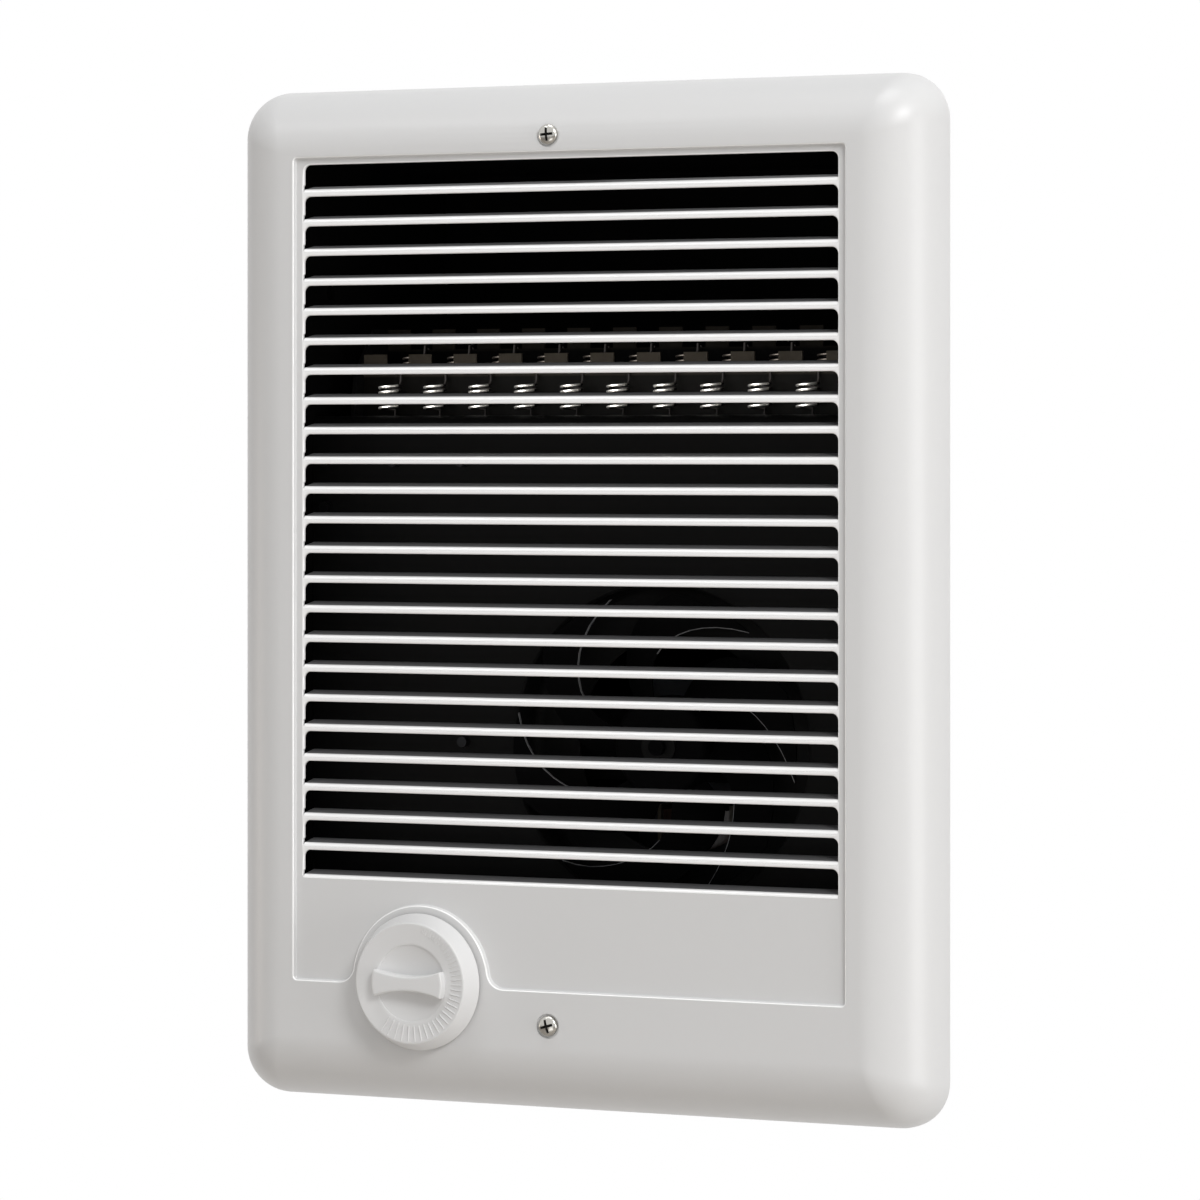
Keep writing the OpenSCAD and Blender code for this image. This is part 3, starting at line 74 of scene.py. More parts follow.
def linear(code: str) -> tuple[float, ...]:
    """Turns an sRGB colour such as "E9EAEA" into the linear red, green, blue and alpha."""
    parts = [int(code[i:i + 2], 16) / 255 for i in (0, 2, 4)]
    return (*(c / 12.92 if c <= 0.04045 else ((c + 0.055) / 1.055) ** 2.4 for c in parts), 1.0)


def add_node(tree: bpy.types.NodeTree, kind: str, links: Optional[dict] = None,
             **settings: object) -> bpy.types.Node:
    """Adds a node to a shader or geometry tree.

    Args:
        tree: the tree that takes the node.
        kind: the node's type.
        links: input name or index to a value, or to (node, output name or index).
        settings: properties of the node itself.

    Returns:
        The new node.
    """
    node = tree.nodes.new(kind)
    for key, value in settings.items():
        setattr(node, key, value)
    for key, value in (links or {}).items():
        if isinstance(value, tuple) and value and isinstance(value[0], bpy.types.Node):
            tree.links.new(value[0].outputs[value[1]], node.inputs[key])
        else:
            node.inputs[key].default_value = value
    return node


def calc(tree: bpy.types.NodeTree, operation: str, *inputs: object) -> tuple:
    """Adds a node that calculates with its inputs, and gives its output as a link."""
    return add_node(tree, "ShaderNodeMath", dict(enumerate(inputs)), operation=operation), 0


def new_material(name: str) -> tuple[bpy.types.Material, bpy.types.NodeTree]:
    """Adds an empty material.

    Args:
        name: the material's name.

    Returns:
        The material and its node tree.
    """
    made = bpy.data.materials.new(name)
    made.use_nodes = True
    made.node_tree.nodes.clear()
    return made, made.node_tree


def linked(name: str, data: bpy.types.ID) -> bpy.types.Object:
    """Adds an object to the scene.

    Args:
        name: the object's name.
        data: its mesh, camera or light.

    Returns:
        The new object.
    """
    made = bpy.data.objects.new(name, data)
    bpy.context.scene.collection.objects.link(made)
    return made


# ---- finishes


class Pattern(Enum):
    """What the surface of a finish shows."""

    SKIN = "soft skin of paint or moulding"
    SPANGLE = "zinc crystals"
    GRAIN = "lines drawn along one way"
    STRATA = "even ribs across one way"
    FLAKE = "layers and flakes"


@dataclass(frozen=True)
class Finish:
    """One finish: its colours, its gloss, and a pattern with a real size in millimetres."""

    name: str
    colour: str
    second: str
    roughness: float
    pattern: Pattern = Pattern.SKIN
    size: float = 2.0
    spread: float = 0.3
    rough_spread: float = 0.06
    metallic: float = 0.0
    bump: float = 0.02
    along: str = "x"
    coat: float = 0.0
    specular: float = 0.5
    # height, in millimetres, below which the second colour takes over
    darker_below: Optional[float] = None

    def stretch(self) -> Point3:
        """Gives the scale of the pattern along x, y and z, per metre."""
        lines = self.along if self.pattern is Pattern.GRAIN else ""
        return tuple((0.03 if axis in lines else 1.0) / (self.size * MM) for axis in "xyz")

    def form(self, tree: bpy.types.NodeTree, place: bpy.types.Node) -> tuple:
        """Makes the pattern of this finish.

        Args:
            tree: the material's node tree.
            place: the node whose first output holds the scaled place.

        Returns:
            The node and the name of its output that holds the pattern, from 0 to 1.
        """
        links = {"Vector": (place, 0), "Scale": 1.0}
        if self.pattern is Pattern.SPANGLE:
            cell = add_node(tree, "ShaderNodeTexVoronoi", {**links, "Randomness": 0.9})
            return add_node(tree, "ShaderNodeSeparateColor", {"Color": (cell, "Color")}), "Red"
        if self.pattern is Pattern.STRATA:
            links.update({"Scale": ONE_RIB, "Distortion": 0.15, "Detail": 1.0})
            return add_node(tree, "ShaderNodeTexWave", links, wave_type="BANDS",
                            bands_direction=self.along.upper()), "Fac"
        links.update({"Detail": 6.0 if self.pattern is Pattern.FLAKE else 3.0,
                      "Roughness": 0.55})
        return add_node(tree, "ShaderNodeTexNoise", links), "Fac"

    def material(self) -> bpy.types.Material:
        """Builds the material, once for each finish.

        Returns:
            The Blender material of this finish.
        """
        made = bpy.data.materials.get(self.name)
        if made is not None:
            return made
        made, tree = new_material(self.name)
        where = add_node(tree, "ShaderNodeTexCoord")
        here = (where, "Object")
        place = add_node(tree, "ShaderNodeMapping", {"Vector": here, "Scale": self.stretch()})
        form = self.form(tree, place)
        # broad patches, some centimetres wide, keep the pattern from being the same all over
        broad = add_node(tree, "ShaderNodeTexNoise", {
            "Vector": here, "Scale": 22.0, "Detail": 3.0})
        share = (add_node(tree, "ShaderNodeMapRange", {
            "Value": calc(tree, "MULTIPLY", form, (broad, "Fac")), "From Max": 0.6,
            "To Max": self.spread}), 0)
        if self.darker_below is not None:
            level, soft = self.darker_below * MM, 0.8 * MM
            high = add_node(tree, "ShaderNodeSeparateXYZ", {"Vector": here})
            darken = add_node(tree, "ShaderNodeMapRange", {
                "Value": (high, "Z"), "From Min": level + soft, "From Max": level - soft})
            share = calc(tree, "MAXIMUM", share, (darken, 0))
        tint = add_node(tree, "ShaderNodeMix", {
            0: share, 6: linear(self.colour), 7: linear(self.second)}, data_type="RGBA")
        gloss = add_node(tree, "ShaderNodeMapRange", {
            "Value": form, "To Min": self.roughness - self.rough_spread,
            "To Max": self.roughness + self.rough_spread})
        relief = add_node(tree, "ShaderNodeBump", {
            "Height": form, "Strength": 1.0, "Distance": self.bump * MM})
        surface = add_node(tree, "ShaderNodeBsdfPrincipled", {
            "Base Color": (tint, 2), "Roughness": (gloss, 0), "Normal": (relief, 0),
            "Metallic": self.metallic, "Coat Weight": self.coat, "Coat Roughness": 0.12,
            "Specular IOR Level": self.specular})
        add_node(tree, "ShaderNodeOutputMaterial", {"Surface": (surface, 0)})
        return made


# baked enamel on pressed steel: a little orange peel, broad soft gloss
ENAMEL = Finish("white_baked_enamel", "D8D8D8", "D2D2D3", 0.36, size=2.4, spread=0.25,
                bump=0.004, rough_spread=0.03)
# the same enamel, whiter and glassier, on rounded edges, folds and the bars between the slots:
# painted highlight
ENAMEL_EDGE_HIGHLIGHT = Finish("white_enamel_painted_edge_highlight", "FAFAFA", "F6F6F6", 0.2, size=2.4,
                     spread=0.2, bump=0.002, rough_spread=0.02, coat=1.0, specular=0.8)
# dark grey on the folded louvres behind the face: painted shade for the inside of the slots
LOUVRE_PAINTED_SHADE = Finish("dark_grey_louvre_painted_shade", "626263", "525253", 0.5, size=1.6, bump=0.006,
                     specular=0.3)
# injection moulded heat-proof plastic of the knob: even, half dull
KNOB_PLASTIC = Finish("white_moulded_plastic", "DCDCDC", "D7D7D8", 0.36, size=0.9, spread=0.2,
                      bump=0.003)
# black stove paint: dull, with fine grit
STOVE_BLACK = Finish("black_stove_paint", "121212", "191919", 0.62, size=0.5, bump=0.01,
                     specular=0.12)
# air ways of the can: dull black, painted shade that keeps them from showing
CAN_INSIDE_PAINTED_SHADE = Finish("dull_black_can_painted_shade", "0B0B0B", "111111", 0.8, size=1.2, bump=0.01,
                    specular=0.05)
# rubber with the dull skin of its mould
BLACK_RUBBER = Finish("black_moulded_bush", "161617", "1F1F20", 0.6, size=0.6, bump=0.008)
# hot dipped zinc: crystals a few millimetres wide in slightly different greys
GALVANISED = Finish("galvanised_steel", "A9ADB0", "7E8387", 0.42, Pattern.SPANGLE, size=6.5,
                    spread=0.8, metallic=0.85, bump=0.01, rough_spread=0.1)
# blades painted dull black, grey along the edge that cuts the air: painted highlight for the
# bright cut edge
FAN_SHEET = Finish("black_fan_paint", "0B0B0C", "111112", 0.7, Pattern.GRAIN, size=0.4,
                   bump=0.006, specular=0.04)
FAN_EDGE_HIGHLIGHT = Finish("grey_fan_edge_painted_highlight", "8A8B8D", "8E8F91", 0.45, Pattern.GRAIN, size=0.4,
                  bump=0.004)
# plated screw heads: bright metal, with the cross recess dark: painted shade
SCREW_RECESS_SHADE = Finish("screw_recess_painted_shade", "3A3836", "262523", 0.5, size=0.4, bump=0.01,
                      specular=0.2)
BRIGHT_NICKEL = Finish("bright_nickel", "BFBDB8", "99978F", 0.22, size=1.0, metallic=1.0,
                       bump=0.003, rough_spread=0.04)
ZINC_PLATE = Finish("zinc_plated_steel", "B4B6B8", "8F9193", 0.34, size=0.8, metallic=1.0,
                    bump=0.006)
BLACK_SCREW = Finish("blackened_screw_steel", "2B2B2D", "1D1D1F", 0.4, size=0.5, metallic=0.8,
                     bump=0.006)
GREEN_SCREW = Finish("green_lacquered_screw", "2C7A45", "1F5C33", 0.35, size=0.7, metallic=0.4,
                     bump=0.006)
# steel turned and ground along its length
GROUND_STEEL = Finish("ground_shaft_steel", "C6C8CB", "A7A9AC", 0.22, Pattern.GRAIN, size=0.3,
                      metallic=1.0, bump=0.003, along="y")
# stamped sheets pressed to a stack: one fine rib for each sheet
ROTOR_STEEL = Finish("skewed_rotor_steel", "85878B", "5E6064", 0.4, Pattern.STRATA, size=0.6,
                     metallic=0.9, bump=0.05, along="y")
LAMINATION = Finish("stacked_lamination_steel", "4A4C50", "2C2D30", 0.5, Pattern.STRATA,
                    size=0.65, spread=0.9, metallic=0.7, bump=0.08, along="y")
# browned copper, darker than its own colour: painted shade inside the can
COPPER = Finish("browned_copper_painted_shade", "5E3C2A", "3F281C", 0.4, size=1.2, metallic=1.0)
# enamelled magnet wire wound in rows: one rib for each turn; darker than its own colour, painted
# shade
MAGNET_WIRE = Finish("varnished_copper_winding_painted_shade", "3A2014", "24120A", 0.34, Pattern.STRATA,
                     size=0.45, spread=0.9, metallic=0.6, bump=0.12, along="x", coat=0.6)
# the bobbin's cream nylon darkened to brown: painted shade inside the can
NYLON_PAINTED_SHADE = Finish("cream_nylon_painted_shade", "575041", "453F32", 0.5, size=1.0)
# strip brass with the fine lines of its rolling, and porous pressed bronze
BRASS = Finish("brass_strip", "C9A75A", "A5843C", 0.3, Pattern.GRAIN, size=0.4, metallic=1.0,
               along="z")
BEARING_BRONZE = Finish("sintered_bronze", "9C7443", "7A5730", 0.5, size=0.3, metallic=0.9,
                        bump=0.02)
# fired ceramic with a thin glaze
STEATITE = Finish("glazed_steatite", "DDD9CE", "CFC9BA", 0.35, size=1.2, bump=0.01)
# mica board: pressed flakes in warm grey and brown, half glossy, darker below its tabs
MICA = Finish("pressed_mica_board", "645D52", "14120F", 0.5, Pattern.FLAKE, size=3.5, spread=0.45,
              bump=0.03, rough_spread=0.14, specular=0.2, darker_below=66.6)
# the rear card: a darker copy of the same board, painted shade for its place further in
MICA_PAINTED_SHADE = Finish("mica_board_painted_shade", "38342E", "060606", 0.5, Pattern.FLAKE, size=3.5,
                   spread=0.5, bump=0.03, rough_spread=0.14, specular=0.06, darker_below=74.6)
# one wire in three colours: bright in front; near black on hooks, links and the curls' backs, and
# darker on the rear curls: painted shade
RESISTANCE = Finish("nickel_chrome_wire", "EFECE6", "D8D3CA", 0.34, size=0.8, metallic=1.0,
                    spread=0.4, bump=0.004)
WIRE_PAINTED_SHADE = Finish("wire_painted_shade", "12100F", "0C0B0A", 0.6, size=0.8, specular=0.05,
                   bump=0.006)
REAR_WIRE_PAINTED_SHADE = Finish("rear_wire_painted_shade", "37332F", "2B2825", 0.45, size=0.8, metallic=1.0,
                     bump=0.006)
# mouldings and leads: pressed resin, and silicone with a soft shine
PHENOLIC = Finish("brown_phenolic", "2E211B", "3C2B22", 0.38, size=0.7, bump=0.006)
BIMETAL = Finish("bimetal_strip", "AD8560", "8E8C88", 0.34, Pattern.GRAIN, size=0.5,
                 metallic=1.0)
RED_SLEEVE = Finish("red_silicone_sleeve", "8E1D18", "74130F", 0.46, size=0.5, bump=0.01)
WHITE_SLEEVE = Finish("white_silicone_sleeve", "D9D8D2", "C9C7BF", 0.46, size=0.5, bump=0.01)


# ---- mesh tools


class Shell:
    """Collects rings of lying points and the faces between them."""

    def __init__(self) -> None:
        """Starts without points."""
        self.points: list[Point3] = []
        self.faces: list[tuple[int, ...]] = []
        self.region: list[int] = []

    def ring(self, points: Iterable[Point3]) -> list[int]:
        """Adds points.

        Args:
            points: lying points, in order.

        Returns:
            Their numbers.
        """
        start = len(self.points)
        self.points.extend(points)
        return list(range(start, len(self.points)))

    def face(self, corners: Sequence[int], region: int = 0) -> None:
        """Adds one face; region is the number of its finish."""
        self.faces.append(tuple(corners))
        self.region.append(region)

    def bridge(self, a: Sequence[int], b: Sequence[int], closed: bool = True,
               region: int = 0) -> None:
        """Joins two rings of the same length with four-sided faces.

        Args:
            a, b: the rings.
            closed: whether the last points join the first.
            region: number of the faces' finish.
        """
        count = len(a)
        for i in range(count if closed else count - 1):
            j = (i + 1) % count
            self.face((a[i], a[j], b[j], b[i]), region)

    def loft(self, rings: Sequence[Sequence[int]], region: int = 0) -> None:
        """Joins each ring to the next."""
        for a, b in zip(rings, rings[1:]):
            self.bridge(a, b, region=region)

    def fill(self, loops: Sequence[Sequence[int]], between: int = 0) -> None:
        """Fills a flat outline with holes.

        Args:
            loops: the outline first, then its holes, as rings.
            between: number of the finish of the faces that lie between two holes.
        """
        flat = [n for loop in loops for n in loop]
        places = [[Vector(self.points[n]) for n in loop] for loop in loops]
        for tri in tessellate_polygon(places):
            self.face([flat[k] for k in tri], between if min(tri) >= len(loops[0]) else 0)

    def build(self, name: str, centre: Point3 = (0, 0, 0)) -> bpy.types.Object:
        """Turns what was collected into a closed object whose faces point outwards.

        Args:
            name: the object's name.
            centre: lying point that the collected points are counted from.

        Returns:
            The new object, at the origin, with its place in its mesh.
        """
        mesh = bpy.data.meshes.new(name)
        moved = [upright(*(a + b for a, b in zip(p, centre))) for p in self.points]
        mesh.from_pydata(moved, [], self.faces)
        mark = mesh.attributes.new("region", "INT", "FACE")
        mark.data.foreach_set("value", self.region)
        work = bmesh.new()
        work.from_mesh(mesh)
        bmesh.ops.remove_doubles(work, verts=work.verts, dist=WELD * MM)
        bmesh.ops.dissolve_degenerate(work, edges=work.edges, dist=SLIVER * MM)
        bmesh.ops.recalc_face_normals(work, faces=work.faces)
        work.to_mesh(mesh)
        work.free()
        return linked(name, mesh)


def circle(steps: int) -> list[float]:
    """Gives the angles of equal steps all round."""
    return [2 * math.pi * k / steps for k in range(steps)]


def turned(name: str, profile: Sequence[Point2], steps: int,
           centre: Point3 = (0, 0, 0)) -> bpy.types.Object:
    """Turns a closed profile round the z axis.

    Args:
        name: the object's name.
        profile: points (radius, height) from the axis round to the axis.
        steps: number of faces round the axis.
        centre: lying point that the axis runs through and heights are counted from.

    Returns:
        The new object.
    """
    shell = Shell()
    shell.loft([shell.ring([(r * math.cos(a), r * math.sin(a), z) for a in circle(steps)])
                for r, z in profile])
    return shell.build(name, centre)


def smooth_over(piece: bpy.types.Object, angle: float) -> bpy.types.Object:
    """Shades a piece smooth, with crisp edges and flat faces that stay flat.

    Args:
        piece: the object.
        angle: edges sharper than this, in degrees, stay crisp.

    Returns:
        The same object.
    """
    mesh = piece.data
    mesh.polygons.foreach_set("use_smooth", [True] * len(mesh.polygons))
    mesh.set_sharp_from_angle(angle=math.radians(angle))
    even = piece.modifiers.new("even_normals", "WEIGHTED_NORMAL")
    even.keep_sharp = True
    # large faces count more, so that they stay flat
    even.weight = 60
    return settle(piece)


def settle(piece: bpy.types.Object) -> bpy.types.Object:
    """Turns a piece with modifiers into one with a plain mesh.

    Args:
        piece: the object.

    Returns:
        The same object, without modifiers.
    """
    bpy.context.view_layer.update()
    graph = bpy.context.evaluated_depsgraph_get()
    old = piece.data
    done = bpy.data.meshes.new_from_object(piece.evaluated_get(graph),
                                           preserve_all_data_layers=True, depsgraph=graph)
    piece.modifiers.clear()
    piece.data = done
    done.name = piece.name
    if old.users == 0:
        bpy.data.meshes.remove(old)
    return piece


def joined(name: str, parts: Sequence[bpy.types.Object]) -> bpy.types.Object:
    """Puts the meshes of several objects into the first one, and removes the others.

    Args:
        name: the object's new name.
        parts: the objects.

    Returns:
        The first object.
    """
    bpy.ops.object.select_all(action="DESELECT")
    for part in parts:
        part.select_set(True)
    bpy.context.view_layer.objects.active = parts[0]
    bpy.ops.object.join()
    parts[0].name = name
    parts[0].data.name = name
    return parts[0]


def cut_away(piece: bpy.types.Object, tool: bpy.types.Object) -> None:
    """Cuts the form of one object out of another.

    Args:
        piece: the object that is cut.
        tool: the form, which is removed.
    """
    knife = piece.modifiers.new("cut", "BOOLEAN")
    knife.operation = "DIFFERENCE"
    knife.solver = "EXACT"
    knife.object = tool
    settle(piece)
    bpy.data.objects.remove(tool)


def arc(cx: float, cy: float, r: float, a0: float, a1: float, steps: int) -> list[Point2]:
    """Gives points on an arc round (cx, cy), from angle a0 to a1 in degrees."""
    turns = [math.radians(a0 + (a1 - a0) * i / steps) for i in range(steps + 1)]
    return [(cx + r * math.cos(a), cy + r * math.sin(a)) for a in turns]


def swing(steps: int, first: int = 0, whole: float = 90.0) -> list[float]:
    """Gives the angles of a round edge in equal steps, from step first to whole degrees."""
    return [math.radians(whole * k / steps) for k in range(first, steps + 1)]


def brow(r: float, top: float, steps: int) -> list[Point2]:
    """Gives (how far out, height) round an edge that falls from top into an opening."""
    return [(r * (1 - math.sin(a)), top - r * (1 - math.cos(a))) for a in swing(steps)]


def at_height(points: Iterable[Point2], z: float) -> list[Point3]:
    """Gives flat points a height."""
    return [(p[0], p[1], z) for p in points]


def dress(piece: bpy.types.Object, finishes: Sequence[Finish], body: str,
          nodes: Sequence[str]) -> bpy.types.Object:
    """Gives a piece its finish and its body, and hides the nodes that it stands for.

    Args:
        piece: the object.
        finishes: one finish, or one for each region of its faces.
        body: the body that it moves with.
        nodes: the nodes that it replaces.

    Returns:
        The same object.
    """
    piece.data.materials.clear()
    for finish in finishes:
        piece.data.materials.append(finish.material())
    marks = [0] * len(piece.data.polygons)
    if len(finishes) > 1:
        marks = [mark.value for mark in piece.data.attributes["region"].data]
    piece.data.polygons.foreach_set("material_index", marks)
    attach(piece, body)
    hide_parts(*nodes)
    LOG.info("%s: %d faces on %s", piece.name, len(piece.data.polygons), body)
    return piece


# ---- repeated pieces


# inputs of the tree: one for each field of Repeat, and the finish
SOCKETS = {"Count": "Int", "Step": "Vector", "Radius": "Float", "Start": "Float",
           "Turn": "Float", "Turn Gain": "Float", "Size Gain": "Float", "Seat": "Vector",
           "Finish": "Material"}


@dataclass
class Repeat:
    """Geometry nodes that repeat one piece in a row, round a circle, or both.

    Lengths and points are lying ones, in millimetres, and angles are in degrees.
    """

    count: int
    step: Point3 = (0.0, 0.0, 0.0)
    radius: float = 0.0
    start: float = 0.0
    turn: float = 0.0
    turn_gain: float = 0.0
    size_gain: float = 0.0
    seat: Point3 = (0.0, 0.0, 0.0)

    def tree(self, name: str) -> bpy.types.NodeTree:
        """Builds the tree with a named input for each size.

        Args:
            name: the tree's name.

        Returns:
            The node tree.
        """
        made = bpy.data.node_groups.new(name, "GeometryNodeTree")
        for way in ("INPUT", "OUTPUT"):
            made.interface.new_socket("Geometry", in_out=way, socket_type="NodeSocketGeometry")
        for label, kind in SOCKETS.items():
            made.interface.new_socket(label, in_out="INPUT", socket_type="NodeSocket" + kind)
        given = add_node(made, "NodeGroupInput")
        index = (add_node(made, "GeometryNodeInputIndex"), 0)
        even = calc(made, "MULTIPLY_ADD", index, (given, "Turn"), (given, "Start"))
        angle = calc(made, "MULTIPLY_ADD", calc(made, "MULTIPLY", index, index),
                     (given, "Turn Gain"), even)
        along = add_node(made, "ShaderNodeVectorMath", {0: (given, "Step"), "Scale": index},
                         operation="SCALE")
        out = add_node(made, "ShaderNodeCombineXYZ", {
            0: calc(made, "COSINE", angle), 2: calc(made, "SINE", angle)})
        away = add_node(made, "ShaderNodeVectorMath", {0: (out, 0), "Scale": (given, "Radius")},
                        operation="SCALE")
        place = add_node(made, "ShaderNodeVectorMath", {0: (along, 0), 1: (away, 0)},
                         operation="ADD")
        turned = add_node(made, "ShaderNodeCombineXYZ", {1: calc(made, "MULTIPLY", angle, -1.0)})
        dots = add_node(made, "GeometryNodePoints", {
            "Count": (given, "Count"), "Position": (place, 0)})
        many = add_node(made, "GeometryNodeInstanceOnPoints", {
            "Points": (dots, 0), "Instance": (given, "Geometry"), "Rotation": (turned, 0),
            "Scale": calc(made, "MULTIPLY_ADD", index, (given, "Size Gain"), 1.0)})
        real = add_node(made, "GeometryNodeRealizeInstances", {"Geometry": (many, 0)})
        seated = add_node(made, "GeometryNodeTransform", {
            "Geometry": (real, 0), "Translation": (given, "Seat")})
        dressed = add_node(made, "GeometryNodeSetMaterial", {
            "Geometry": (seated, 0), "Material": (given, "Finish")})
        add_node(made, "NodeGroupOutput", {0: (dressed, 0)})
        return made

    def apply(self, piece: bpy.types.Object, finish: Finish) -> bpy.types.Object:
        """Repeats the piece and leaves a plain mesh.

        Args:
            piece: one piece, drawn round the origin.
            finish: the finish that the tree sets.

        Returns:
            The same object, holding all the repeats.
        """
        values = {"Count": self.count, "Step": upright(*self.step)[:],
                  "Radius": self.radius * MM, "Start": math.radians(self.start),
                  "Turn": math.radians(self.turn), "Turn Gain": math.radians(self.turn_gain),
                  "Size Gain": self.size_gain, "Seat": upright(*self.seat)[:],
                  "Finish": finish.material()}
        nodes = piece.modifiers.new("repeat", "NODES")
        nodes.node_group = self.tree(piece.name + "_repeat")
        for socket in nodes.node_group.interface.items_tree:
            if socket.in_out == "INPUT" and socket.name in values:
                nodes[socket.identifier] = values[socket.name]
        return settle(piece)


# ---- grille


@dataclass
class Grille:
    """Pressed steel grille: rolled edge, sunk panel, slots with folded louvres, land."""

    width: float = 228.0
    height: float = 305.0
    depth: float = 21.3
    edge: float = 19.8
    corner_share: float = 0.7
    sheet: float = 1.0
    band_side: float = 24.1
    band_top: float = 21.2
    recess: float = 1.5
    knob: Point2 = (-47.1, -114.8)
    land: float = 22.7
    fillet: float = 5.0
    panel_low: float = -115.9
    slots: int = 24
    slot_first: float = 128.7
    slot_pitch: float = 8.94
    slot_high: float = 6.7
    slot_half: float = 87.2
    end_extra: float = 0.6
    slot_corner: float = 2.0
    bend: float = 1.2
    bend_steps: int = 6
    lip: float = 0.4
    relief_left: float = 0.35
    relief_right: float = 0.02
    relief_high: float = 1.3
    relief_dip: float = 0.2
    louvre: float = 6.7
    louvre_tilt: float = 10.5
    louvre_thin: float = 0.9
    corner: float = 1.0
    brow: float = 0.6
    root: float = 0.35
    hub_hole: float = 5.8
    hub_chamfer: float = 0.3
    screws: tuple[Point2, Point2] = ((-4.7, 136.4), (-4.7, -126.1))
    dimple: float = 0.6
    dimple_r: float = 3.6
    dimple_slope: float = 0.25
    screw_hole_r: float = 2.4

    def outline(self, grow: float) -> list[Point2]:
        """Gives the outline of the sunk panel.

        Args:
            grow: how far outside the panel the outline runs.

        Returns:
            The outline, round the land of the knob.
        """
        half, top = self.width / 2 - self.band_side, self.height / 2 - self.band_top
        low, rc = self.panel_low, self.corner
        kx, ky = self.knob
        big, small, r = self.land - grow, self.fillet + grow, rc + grow
        fy = low + self.fillet
        fx = math.sqrt((self.land + self.fillet) ** 2 - (fy - ky) ** 2)
        lean = math.degrees(math.atan2(fy - ky, fx))
        return (arc(-half + rc, top - rc, r, 90, 180, 4)
                + arc(-half + rc, low + rc, r, 180, 270, 4)
                + arc(kx - fx, fy, small, 270, 360 - lean, 8)
                + arc(kx, ky, big, 180 - lean, lean, 48)
                + arc(kx + fx, fy, small, 180 + lean, 270, 8)
                + arc(half - rc, low + rc, r, 270, 360, 4)
                + arc(half - rc, top - rc, r, 0, 90, 4))

    def slot_top(self, i: int) -> float:
        """Gives the height of the upper edge of slot i."""
        return self.slot_first - i * self.slot_pitch + (self.end_extra if i == 0 else 0.0)

    def slot_low(self, i: int) -> float:
        """Gives the height of the lower edge of slot i."""
        last = self.end_extra if i == self.slots - 1 else 0.0
        return self.slot_first - i * self.slot_pitch - self.slot_high - last

    def slot_foot(self, i: int, grow: float, relief: float) -> list[Point2]:
        """Gives the lower left corner of a slot.

        Args:
            i: number of the slot, from the top.
            grow: how far its upper lip reaches over the face.
            relief: width of the relief cut beside the fold.

        Returns:
            The points from the fold up to the straight end of the slot.
        """
        low, half = self.slot_low(i), self.slot_half
        out, rise = half + relief + grow * 0.5, low + self.relief_high
        return [(-half, low - self.bend), (-out, low - self.relief_dip), (-out, rise - relief),
                (-half - grow, rise)]

    def slot_outline(self, i: int, grow: float) -> list[Point2]:
        """Gives the outline of a slot.

        Args:
            i: number of the slot, from the top.
            grow: how far its upper lip reaches over the face.

        Returns:
            The outline; the relief beside the fold is wide at its left end only.
        """
        corner = self.slot_corner
        upper = arc(corner - self.slot_half, self.slot_top(i) - corner, corner + grow,
                    180, 90, 6)
        right = self.slot_foot(i, grow, self.relief_right) + upper
        return (self.slot_foot(i, grow, self.relief_left) + upper
                + [(-x, y) for x, y in reversed(right)])

    def roll(self, shell: Shell, inset: float) -> list[list[int]]:
        """Adds the rings of the rolled edge, from the flat face out to the rim.

        Args:
            shell: collects the points.
            inset: 0 for the outer side, the sheet's thickness for the inner one.

        Returns:
            The rings, from the face to the wall.
        """
        size, rim = self.edge - inset, self.depth - self.edge
        profile = [(0.0, self.depth - inset), *(
            (size * math.sin(t), rim + size * math.cos(t)) for t in swing(20, 1)), (size, 0)]
        hw, hh = self.width / 2 - self.edge, self.height / 2 - self.edge
        rings = []
        for r, z in profile:
            path: list[Point2] = []
            bend = r * self.corner_share
            cx, cy = hw + r - bend, hh + r - bend
            for sx, sy, start in ((1, 1, 0), (-1, 1, 90), (-1, -1, 180), (1, -1, 270)):
                path += arc(sx * cx, sy * cy, bend, start, start + 90, 14)
            rings.append(shell.ring(at_height(path, z)))
        return rings

    def face_rect(self, z: float) -> list[Point3]:
        """Gives the corners of the flat face at height z."""
        hw, hh = self.width / 2 - self.edge, self.height / 2 - self.edge
        return [(hw, hh, z), (-hw, hh, z), (-hw, -hh, z), (hw, -hh, z)]

    def sheet_body(self) -> bpy.types.Object:
        """Builds the pressed sheet, without its louvres.

        Returns:
            The sheet, with its slots and screw dimples.
        """
        shell = Shell()
        top, sunk, t = self.depth, self.depth - self.recess, self.sheet
        outer, inner = self.roll(shell, 0.0), self.roll(shell, t)
        shell.loft(outer)
        shell.loft(inner)
        shell.bridge(outer[-1], inner[-1])
        # step from the band down to the sunk panel: round brow, short wall, round root
        root = [(-self.root * (1 - math.cos(a)), sunk + self.root * (1 - math.sin(a)))
                for a in swing(5)]
        step = [shell.ring(at_height(self.outline(g), z))
                for g, z in brow(self.brow, top, 5) + root]
        # the middle of the brow gets the whiter edge enamel: painted highlight
        for k, (a, b) in enumerate(zip(step, step[1:])):
            shell.bridge(a, b, region=int(k in (1, 2)))
        # hole for the knob's hub
        kx, ky = self.knob
        turns = arc(0, 0, 1.0, 0, 352.5, 47)
        hub = [shell.ring([(kx + x * r, ky + y * r, z) for x, y in turns])
               for r, z in ((self.hub_hole + self.hub_chamfer, top),
                            (self.hub_hole, top - self.hub_chamfer), (self.hub_hole, top - t))]
        shell.loft(hub)
        shell.fill([shell.ring(self.face_rect(top)), step[0], hub[0]])
